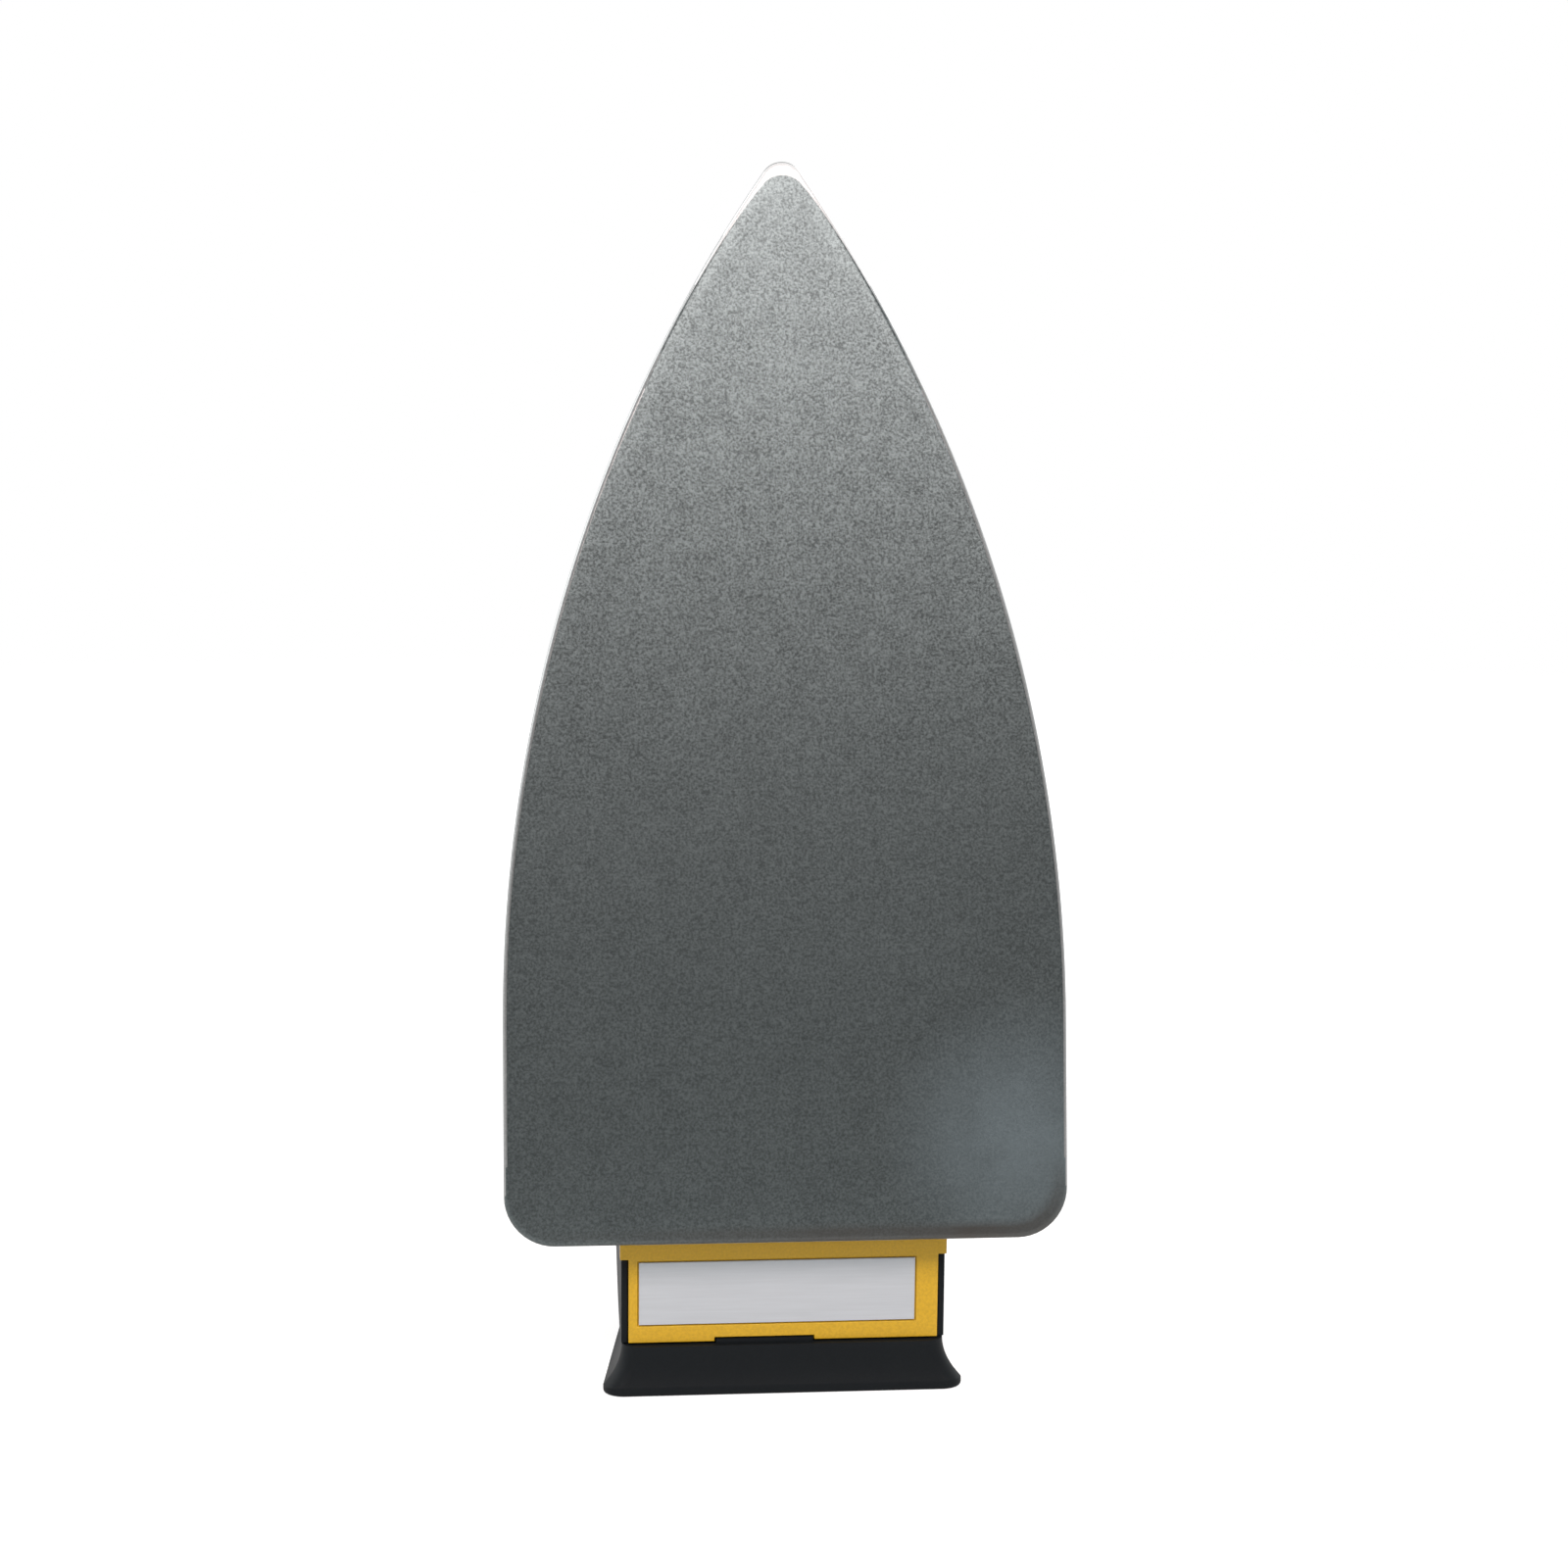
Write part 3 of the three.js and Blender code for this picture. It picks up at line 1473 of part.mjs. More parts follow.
function lampLeadPoints(side) {
  const start = new THREE.Vector3((side * lampRadius) / 2, -lensLength - seat, 0).applyMatrix4(lensPlace);
  const x = start.x;
  const end = portXs[1] + (side * portSpacing) / 2;
  return [
    start.toArray(),
    [x, lensHeight - 6.5, lampBoreZ],
    [x, 52, lampBoreZ],
    [x * 1.2, 44, lampBoreZ - 0.3],
    [x * 1.6, 38.6, lampBoreZ - 3],
    [x * 2.6, 36.8, 150],
    [side * lampLeadSpread, lampLeadHeight, 138],
    [side * lampLeadSpread, lampLeadHeight, dialCentre],
    [side * lampLeadSpread, lampLeadHeight, 60],
    [side * lampLeadSpread, lampLeadHeight, 36],
    [side * lampLeadSpread, 39.5, 26],
    [side * lampLeadSpread, 45, 21.5],
    [(side * lampLeadSpread + end) / 2, 54, 20.5],
    [end, 63, 18],
    [end, 67, 12],
    [end, blockTop - 2 * lampLeadRadius, 6],
    [end, blockTop - 2 * lampLeadRadius, blockFront + seat],
  ];
}

// The assembly

const blockScrewPlace = [portXs[1] + portSpacing / 2, blockScrewZ];
const clampScrewPlaces = [-1, 1].map((side) => [
  clampCentreX + (side * (clampWidth - clampFoot)) / 2,
  blockCentreZ,
]);

const iron = new THREE.Group();
const body = new THREE.Group();
body.position.set(0, soleEdgeY, soleClearance);
body.rotation.x = -lean;
iron.add(body);

function add(name, geometry, material, position = [0, 0, 0], parent = body) {
  const mesh = new THREE.Mesh(geometry, material);
  mesh.name = name;
  mesh.position.set(...position);
  parent.add(mesh);
  return mesh;
}

// A screw whose shank points down to the casting, the underside of its head at y.
function addScrew(name, geometry, [x, z], y) {
  return add(name, geometry, steel, [x, y, z]);
}

add("soleplate", soleplate(), castAluminium);
add("heating_element", heatingElement(), steel);
for (const [word, side] of [["left", -1], ["right", 1]]) {
  const end = [side * elementEndX, elementEndTop + seat, elementEndZ];
  add(`element_bead_${word}`, bead(), ceramic, end);
  add(`element_pin_${word}`, pin(), steel, end);
}

add("cover", cover(), yellowPaint);
add("heat_shield", heatShield(), steel);
const shieldScrewLength = soleScrewLength + shieldThickness;
shieldPosts.forEach(([x, z], i) =>
  addScrew(
    `shield_screw_${i + 1}`,
    machineScrew(shieldScrewLength),
    [x, z],
    shieldHeight + shieldThickness + seat,
  ),
);
add("rear_bracket", rearBracket(), steel);
const bracketScrewY = solePlatform + rearBracketThickness + 2 * seat;
for (const [word, side] of [["left", -1], ["right", 1]]) {
  addScrew(
    `bracket_screw_${word}`,
    machineScrew(soleScrewLength + rearBracketThickness),
    [side * bracketScrewX, bracketScrewZ],
    bracketScrewY,
  );
}
add("nose_bracket", noseBracket(), steel);
addScrew(
  "nose_screw",
  machineScrew(soleScrewLength + noseBracketThickness),
  [0, noseBossZ],
  padTop + noseBracketThickness + 2 * seat,
);

add("thermostat_bridge", bridge(), steel);
bridgeScrews.forEach(({ x, z }, i) =>
  addScrew(
    `bridge_screw_${i + 1}`,
    machineScrew(soleScrewLength + bridgeThickness),
    [x, z],
    solePlatform + bridgeThickness + 2 * seat,
  ),
);
add("bimetal_strip", bimetalStrip(), springSteel);
add("set_contact_arm", setArm(), brass);
add("moving_contact_arm", movingArm(), brass);
[firstWasher, secondWasher, thirdWasher].forEach((y, i) =>
  add(`ceramic_washer_${i + 1}`, washer(), ceramic, [0, y, stackCentre]),
);
add("stack_rivet", stackRivet(), steel);
add("push_pin", pushPin(), ceramic);
add("dial_shaft", dialShaft(), steel);
add("dial", dial(), blackPlastic);
add("scale_ring", scaleRing(), blackPlastic);

add("handle", handle(), blackPlastic);
const handleScrews = [
  ["rear_left", -handleScrewRearX, handleScrewRearZ, coverTop - coverWall - seat],
  ["rear_right", handleScrewRearX, handleScrewRearZ, coverTop - coverWall - seat],
  ["front", 0, handleScrewFrontZ, coverTop - coverWall - frontPadDepth - seat],
];
for (const [word, x, z, y] of handleScrews) {
  const length = coverTop + handleScrewLength - 2 * screwRadius - y;
  add(`handle_screw_${word}`, machineScrew(length), steel, [x, y, z]).rotation.x = Math.PI;
}
for (const [word, side] of [["left", -1], ["right", 1]]) {
  const under = [side * housingScrewX, rearBracketTongue - seat, housingScrewZ];
  add(`housing_screw_${word}`, machineScrew(housingScrewLength), steel, under).rotation.x = Math.PI;
}
add("rear_cover", rearCover(), yellowPlastic);
const label = block(
  labelOffset - labelWidth / 2,
  labelOffset + labelWidth / 2,
  -labelThickness,
  0,
  labelDrop,
  labelDrop + labelHeight,
);
add("rating_plate", label.applyMatrix4(onPanel), foil);

add("heel_rest", heelRest(), blackPlastic, [0, 0, 0], iron);
for (const [word, side] of [["left", -1], ["right", 1]]) {
  const place = [side * heelScrewX, heelScrewY, heelHeight + housingEndWall + seat];
  const screw = machineScrew(heelScrewLength).rotateX(Math.PI / 2);
  add(`heel_screw_${word}`, screw, steel, place, iron);
}

add("pilot_lens", lens().applyMatrix4(lensPlace), redLens);
add("neon_lamp", lamp().applyMatrix4(lensPlace), lampGlass);
add("cord_bush", cordBush().applyMatrix4(glandPlace), blackPlastic);

add("terminal_block", terminalBlock(), ceramic);
portXs.forEach((x, i) =>
  addScrew(
    `terminal_screw_${i + 1}`,
    smallScrew(blockTop - portHeight - leadRadius),
    [x, terminalScrewZ],
    blockTop + seat,
  ),
);
addScrew(
  "block_screw",
  smallScrew(blockHeight + shelfThickness + seat),
  blockScrewPlace,
  blockTop + seat,
);
add("cord_clamp", cordClamp(), steel);
clampScrewPlaces.forEach((place, i) =>
  addScrew(
    `clamp_screw_${i + 1}`,
    smallScrew(clampThickness + shelfThickness),
    place,
    shelfTop + clampThickness + 2 * seat,
  ),
);

add("supply_lead", sleeveOf(supplyLeadPoints), sleeve);
add(
  "thermal_fuse",
  rod(fuseRadius, fuseTop - fuseLength, fuseTop, 0, wireDropZ),
  steel,
);
add("live_lead", sleeveOf(liveLeadPoints), sleeve);
add("neutral_lead", sleeveOf(neutralLeadPoints), sleeve);
add("element_link", sleeveOf(elementLinkPoints), sleeve);
add("earth_lead", sleeveOf(earthLeadPoints), earthSleeve);
for (const [word, side] of [["left", -1], ["right", 1]]) {
  const path = through(...lampLeadPoints(side));
  add(`lamp_lead_${word}`, tube(path, lampLeadRadius, lampLeadFacets), sleeve);
}

export default iron;
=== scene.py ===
import json
import math

import bmesh
import bpy
from mathutils import Matrix, Vector


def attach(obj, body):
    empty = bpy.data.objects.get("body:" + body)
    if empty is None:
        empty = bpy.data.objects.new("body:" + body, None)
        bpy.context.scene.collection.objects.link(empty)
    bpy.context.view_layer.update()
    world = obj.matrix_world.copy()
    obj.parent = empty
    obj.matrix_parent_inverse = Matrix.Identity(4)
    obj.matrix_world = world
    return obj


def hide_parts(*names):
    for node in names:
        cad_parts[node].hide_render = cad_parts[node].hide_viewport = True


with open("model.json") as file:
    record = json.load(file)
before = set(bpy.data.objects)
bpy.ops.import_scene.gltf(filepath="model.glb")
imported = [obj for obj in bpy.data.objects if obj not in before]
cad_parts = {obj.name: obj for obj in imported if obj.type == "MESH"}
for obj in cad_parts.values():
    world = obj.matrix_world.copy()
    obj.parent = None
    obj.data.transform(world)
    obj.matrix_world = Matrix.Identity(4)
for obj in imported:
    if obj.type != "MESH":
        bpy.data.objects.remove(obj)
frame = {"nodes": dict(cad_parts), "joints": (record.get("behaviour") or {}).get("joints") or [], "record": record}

bl_info = {
    "name": "Dry Iron",
    "version": (1, 0, 0),
    "blender": (4, 5, 0),
    "location": "View3D > Sidebar > Iron",
    "description": "Dresses a dry iron that stands on its heel",
    "category": "Object",
}

MM = 0.001
BODY = "iron"
DIAL_BODY = "dial"

# The dial's joint runs square to the sole, so its axis gives the lean of the standing iron.
DIAL_JOINT = next(j for j in frame["joints"] if j["name"] == "dial_turn")
LEAN = math.atan2(-DIAL_JOINT["axis"][2], DIAL_JOINT["axis"][1])


# Sizes and colours that a user would change


class IronSizes(bpy.types.PropertyGroup):
    """The iron's driving sizes"""

    sole_length: bpy.props.FloatProperty(
        name="Sole length", description="From the rear edge to the tip", default=0.2272, unit="LENGTH"
    )
    sole_width: bpy.props.FloatProperty(
        name="Sole width", description="Across the parallel sides", default=0.1191, unit="LENGTH"
    )
    sole_clearance: bpy.props.FloatProperty(
        name="Sole clearance",
        description="Height of the sole's rear edge above the table",
        default=0.03525,
        unit="LENGTH",
    )
    cover_top: bpy.props.FloatProperty(
        name="Cover height",
        description="Height of the cover's flat top above the sole face",
        default=0.0445,
        unit="LENGTH",
    )
    grip_top: bpy.props.FloatProperty(
        name="Grip height",
        description="Height of the grip's top above the sole face",
        default=0.120,
        unit="LENGTH",
    )
    grip_under: bpy.props.FloatProperty(
        name="Grip underside",
        description="Height of the grip's underside above the sole face",
        default=0.090,
        unit="LENGTH",
    )
    heel_height: bpy.props.FloatProperty(
        name="Heel height",
        description="Height of the flared heel rest",
        default=0.0108,
        unit="LENGTH",
    )
    rest_depth: bpy.props.FloatProperty(
        name="Heel depth",
        description="Depth of the heel's rest face",
        default=0.067,
        unit="LENGTH",
    )
    dial_radius: bpy.props.FloatProperty(
        name="Dial radius",
        description="Radius of the heat dial's skirt",
        default=0.024,
        unit="LENGTH",
    )


class IronFinishes(bpy.types.PropertyGroup):
    """The colours of the iron's finishes"""

    sole: bpy.props.FloatVectorProperty(
        name="Sole",
        description="Satin coating of the sole",
        subtype="COLOR",
        size=3,
        default=(0.109, 0.1300, 0.1325),
    )
    casting: bpy.props.FloatVectorProperty(
        name="Casting",
        description="Bare edge of the sole",
        subtype="COLOR",
        size=3,
        default=(0.34, 0.35, 0.35),
    )
    paint: bpy.props.FloatVectorProperty(
        name="Paint",
        description="Enamel of the cover",
        subtype="COLOR",
        size=3,
        default=(0.64, 0.39, 0.045),
    )
    rear_plastic: bpy.props.FloatVectorProperty(
        name="Rear cover",
        description="Yellow moulding",
        subtype="COLOR",
        size=3,
        default=(0.59, 0.355, 0.012),
    )
    black: bpy.props.FloatVectorProperty(
        name="Black",
        description="Handle and heel moulding",
        subtype="COLOR",
        size=3,
        default=(0.0088, 0.0112, 0.0130),
    )
    marks: bpy.props.FloatVectorProperty(
        name="Marks",
        description="Ink of the dial's marks",
        subtype="COLOR",
        size=3,
        default=(0.70, 0.70, 0.66),
    )
    label: bpy.props.FloatVectorProperty(
        name="Label",
        description="Foil of the rating plate",
        subtype="COLOR",
        size=3,
        default=(0.51, 0.55, 0.58),
    )
    lens: bpy.props.FloatVectorProperty(
        name="Lens",
        description="Pilot lamp's lens",
        subtype="COLOR",
        size=3,
        default=(0.55, 0.02, 0.01),
    )


class IronView(bpy.types.PropertyGroup):
    """Where the camera stands and how it looks"""

    distance: bpy.props.FloatProperty(
        name="Distance", description="From the lens to the sole", default=0.625, unit="LENGTH"
    )
    lens: bpy.props.FloatProperty(
        name="Lens", description="Focal length on a 36 mm sensor", default=68.36, unit="CAMERA"
    )
    yaw: bpy.props.FloatProperty(
        name="Yaw",
        description="Turn of the view about the iron's length",
        default=math.radians(5.35),
        unit="ROTATION",
    )
    roll: bpy.props.FloatProperty(
        name="Roll",
        description="Tilt of the picture",
        default=math.radians(0.33),
        unit="ROTATION",
    )
    aim_x: bpy.props.FloatProperty(
        name="Aim across",
        description="Place across the sole that stands in mid picture",
        default=-0.00043,
        unit="LENGTH",
    )
    aim_z: bpy.props.FloatProperty(
        name="Aim along",
        description="Place along the sole that stands in mid picture",
        default=0.09634,
        unit="LENGTH",
    )


# Shapes in millimetres, in the iron's own frame: X across, Y out from the sole face towards the
# handle, Z from the sole's rear edge to the tip

SOLE_NOSE_RADIUS = 4.7
SOLE_STRAIGHT = 46.0
SOLE_CORNER_RADIUS = 10.7
SOLE_EDGE_HEIGHT = 8.0
SOLE_EDGE_ROUND = 1.2
SOLE_NOSE_ROUND = 2.6
SOLE_ROLL_WIDTH = 4.0
SOLE_ROLL_DEPTH = 0.12
SOLE_PLATFORM = 10.0
PLATFORM_INSET = 6.0
PLATFORM_NOSE_INSET = 13.0
OVERRUN = 1.0
CAVITY_FLOOR = 1.5
CAVITY_INSET = 6.6
PAD_TOP = 12.0
COATED_HEIGHT = 0.65  # the coating reaches this far up the rounded edge
SIDE_COATED_HEIGHT = 0.2  # and only this far along the sides
BARE_SIDES = (8.0, 175.0)  # it changes over from these places along the sole
BARE_SIDES_FADE = (10.0, 40.0)  # over these lengths
SEAT = 0.3  # gap left between pieces that touch
MOULDED_EDGE = 0.3  # rounding of a small moulded piece's edges

COVER_INSET = 3.0
COVER_WALL = 1.4
COVER_TOP_HALF_WIDTH = 34.0
COVER_NOSE_DRAW = 50.0
COVER_REAR_DRAW = 5.0
COVER_NOSE_RADIUS = 4.0
COVER_TOP_NOSE_RADIUS = 12.0
COVER_CORNER_RADIUS = 9.0
COVER_TOP_CORNER_RADIUS = 14.0
NOSE_SLOPE_SHARE = 0.55

GRIP_HALF_WIDTH = 17.5
GRIP_CROWN = 1.5
GRIP_EXPONENT = 2.5
POST_HALF_WIDTH = 14.5
GAP_REAR = 38.0
GAP_FRONT = 152.0
GAP_EXPONENT = 3.0
GAP_BLEND = 34.0
GAP_MIDDLE = (GAP_REAR + GAP_FRONT) / 2
GAP_HALF = (GAP_FRONT - GAP_REAR) / 2
HANDLE_FRONT = 188.0
HANDLE_FRONT_START = 100.0
HANDLE_FRONT_FOOT = 34.0
HANDLE_FRONT_EXPONENT = 1.8
HOUSING_HALF_WIDTH = 34.7
HOUSING_EXPONENT = 3.0
HOUSING_FOOT_EXPONENT = 14.0
HOUSING_BACK = -26.0
HOUSING_BACK_START = 45.0
HOUSING_BACK_FOOT = 40.0
HOUSING_BACK_EXPONENT = 2.2
HOUSING_SPREAD_FRONT = 40.0
HOUSING_SPREAD_REAR = 2.0
HOUSING_SPREAD_LOW = 60.0
HOUSING_SPREAD_HIGH = 104.0
HOUSING_FLOOR_DROP = 40.0
HOUSING_WALL = 1.8
HOUSING_END_WALL = 2.4
SHELF_UNDER = 54.0
SHELF_THICKNESS = 3.0
SHELF_FRONT = 8.0
WIRE_OPENING_HALF_WIDTH = 15.0
WIRE_OPENING_FRONT = 25.0
POST_RADIUS = 5.0
SCREW_RADIUS = 1.7
HANDLE_SCREW_LENGTH = 16.0
HANDLE_SCREWS = ((-20.5, 14.0), (20.5, 14.0), (0.0, 170.0))
HOUSING_SCREW_LENGTH = 12.0
HOUSING_SCREWS = ((-20.0, -7.5), (20.0, -7.5))
BRACKET_TONGUE = 17.2
BRACKET_THICKNESS = 1.5
BRACKET_HALF_WIDTH = 26.0
BACK_CROWDING = 1.8

REST_HALF_WIDTH = 38.6
REST_FAR_HALF_WIDTH = 32.5
HEEL_TOP_HALF_WIDTH = 34.6
HEEL_TOP_FAR_HALF_WIDTH = 31.0
HEEL_BEHIND_SOLE = 11.3
HEEL_TOP_NEAR = 1.7
HEEL_TOP_FAR = 5.0
HEEL_LIP = 1.8
HEEL_LIP_ROUND = 0.8
HEEL_NEAR_CORNER = 4.0
HEEL_FAR_CORNER = 16.0
HEEL_FLARE_EXPONENT = 2.2
HEEL_WALL = 2.2
HEEL_HOLLOW_FAR = 12.3
HEEL_SCREW_X = 28.0
HEEL_SCREW_Y = -1.7
HEEL_SCREW_LENGTH = 8.0
HEEL_EDGE = 0.25
TONGUE_WIDTH = 20.8
TONGUE_HEIGHT = 0.7
TONGUE_SETBACK = 1.3
TONGUE_OFFSET = -4.1

PANEL_TOP = -0.7
PANEL_FACE = 9.6
PANEL_LENGTH = 22.35
PANEL_HALF_WIDTH = 33.2
PANEL_THICKNESS = 2.2
PANEL_SLOPE = math.radians(9)
PANEL_PROUD = 0.9
FLANGE_HALF_WIDTH = 35.0
FLANGE_HEIGHT = 3.95
LABEL_WIDTH = 59.2
LABEL_HEIGHT = 13.8
LABEL_RECESS = 0.6
LABEL_OFFSET = -1.4
LABEL_DROP = 4.6
LABEL_SEAT = 0.05
LABEL_EDGE = 0.12
NOTCH_DEPTH = 0.9
CLIP_DEPTH = 4.5
CLIP_WIDTH = 9.0
CLIP_THICKNESS = 1.6
CLIP_SPREAD = 9.0

DIAL_CENTRE = 104.0
DIAL_FLANGE = 2.4
DIAL_HEIGHT = 10.5
DIAL_DRUM_RADIUS = 18.4
DIAL_FLUTES = 24
FLUTE_DEPTH = 0.7
DIAL_LIFT = 0.8
DIAL_CAP = 3.0
DIAL_HUB_RADIUS = 6.0
DIAL_SKIN = 2.2
SHAFT_RADIUS = 3.0
DIAL_EDGE = 0.5
DIAL_DISH = 0.4
MARK_SIZE = 1.1
MARK_PROUD = 0.12
MARK_GROUPS = 3
MARK_START = math.radians(35)
MARK_STEP = math.radians(55)
MARK_PITCH = math.radians(5.5)
BEZEL_OUTER = 28.0
BEZEL_GAP = 0.6
BEZEL_HEIGHT = 2.6
BEZEL_EDGE = 0.5

LENS_RADIUS = 5.0
LENS_PROUD = 1.8
LENS_LENGTH = 9.0
LENS_WALL = 1.2
LENS_HEIGHT = 66.0
LENS_SINK = 1.0
LENS_TILT = 20.0
LAMP_BORE = 3.6
LAMP_BORE_INSET = 10.0
GLAND_TILT = 46.0
GLAND_Z = -5.0
GLAND_SINK = 2.7
GLAND_RADIUS = 7.0
GLAND_FLANGE = 8.6
GLAND_FLANGE_HEIGHT = 2.4
GLAND_BORE = 4.4
GLAND_LENGTH = 9.0

REACH = 400.0  # how far a block that trims a whole piece reaches
WELD = 1e-5  # points closer than this become one
FRAME_WELD = 1e-4

# Steps of the curves, and the angles past which an edge stays sharp

RING_STEPS = 96
ROUND_STEPS = 48
CORNER_STEPS = 12
SOLE_SIDE_STEPS = 6
SOLE_ARC_STEPS = 48
SOLE_ROLL_STEPS = 6
SOLE_ROUND_STEPS = 10
COVER_STEPS = 28
HOUSING_STEPS = 40
GAP_STEPS = 90
FRONT_STEPS = 30
ROOM_STEPS = 28
HEEL_LIP_STEPS = 8
HEEL_FLARE_STEPS = 24
HEEL_HOLLOW_STEPS = 12
SKIRT_STEPS = 4
FILLET_STEPS = 5
RIM_STEPS = 6
FLUTE_STEPS = 12
BEZEL_STEPS = 120
DOT_STEPS = 24
DOME_STEPS = 10
BUSH_STEPS = 64
FLOOR_STEPS = 128
BEVEL_STEPS = 3
SHARP_ANGLE = math.radians(35)
COVER_SHARP_ANGLE = math.radians(40)
HANDLE_SHARP_ANGLE = math.radians(38)
DIAL_SHARP_ANGLE = math.radians(32)

# The stage, in metres and watts; the key lamp's places are in millimetres in the iron's own frame

FLOOR_RADIUS = 1.6
FLOOR_FADE = 1.0
FLOOR_COLOUR = (0.6, 0.6, 0.6)
FLOOR_GLOW = 0.7
FLOOR_TURN = (-0.3, 0.3)  # gloss sees the floor turn from grey to white between these
WORLD_LIGHT = 0.65
WORLD_TURN = (-0.85, 0.1)
FRONT_GREY = 0.10
WHITE = (1, 1, 1, 1)
KEY_PLACE = (0, -500, 400)
KEY_AIM = 180
KEY_SIZE = (0.6, 0.2)
KEY_POWER = 1.64
KEY_COLOUR = (1.0, 0.875, 0.85)
KEY_SPREAD = math.radians(110)
FILL_PLACE = (-1.2, 0.5, 0.7)
FILL_SIZE = (0.8, 0.8)
FILL_POWER = 7.0
BACK_PLACE = (1.0, 1.2, 1.0)
BACK_SIZE = (0.9, 0.9)
BACK_POWER = 9.0
SENSOR_WIDTH = 36
NEAR_CLIP = 0.01

# The sole's coating, its wear and its painted light, in metres: a painted glint in the grain, a patch of painted
# reflection, the bare tip and a darker rear edge.
# The edge is told by the coating's height above the sole face, as the face rolls off towards it.

FLECK_DARK = 0.5
FLECK_LIGHT = 1.5
WISP_SHARE = 0.12
# Painted glint: the flakes' colour contrast is weak low on the sole and grows towards the top, where the highlight
# falls.
GLINT_GRAIN_LOW = 0.57  # share of the grain's contrast that is left low on the sole
GLINT_GRAIN_ALONG = (0.12, 0.185)  # it grows to its full contrast between these heights
PATCHY_SHARE = 0.75
# Painted reflection: a lighter patch low on the right of the sole, given by its place, radius and colour.
REFLECTION_PATCH_PLACE = (0.0500, -0.0375, 0.0570)
REFLECTION_PATCH_RADIUS = 0.031
REFLECTION_PATCH_COLOUR = (0.215, 0.268, 0.288)
WORN_PER_HEIGHT = 10000  # how much the height above the sole face counts towards bareness
WORN_PER_RISE = 100  # and how much the height above the table counts
WORN_BORDER = (26.6, 27.5)
WORN_COLOUR = (0.84, 0.85, 0.85)
# A darker colour along the sole's rear edge, stronger to the right.
DARK_REAR_HEIGHT = (0.000004, 0.00006)
DARK_REAR_ALONG = (0.038, 0.052)
DARK_REAR_ACROSS = (-0.06, 0.04)
DARK_REAR_COLOUR = (0.085, 0.081, 0.075)

# Patterns of the finishes: the run that holds most of a noise's values, and the sleeves' threads

NOISE_LOW = 0.35
NOISE_HIGH = 0.65
THREADS_SCALE = 900


def lerp(a, b, t):
    return a + (b - a) * t


def smooth(t):
    """Eases from 0 to 1 as t goes from 0 to 1."""
    s = min(max(t, 0.0), 1.0)
    return s * s * (3 - 2 * s)


def evenly(start, end, steps):
    """Values from start to end, both included, in even steps."""
    return [lerp(start, end, i / steps) for i in range(steps + 1)]


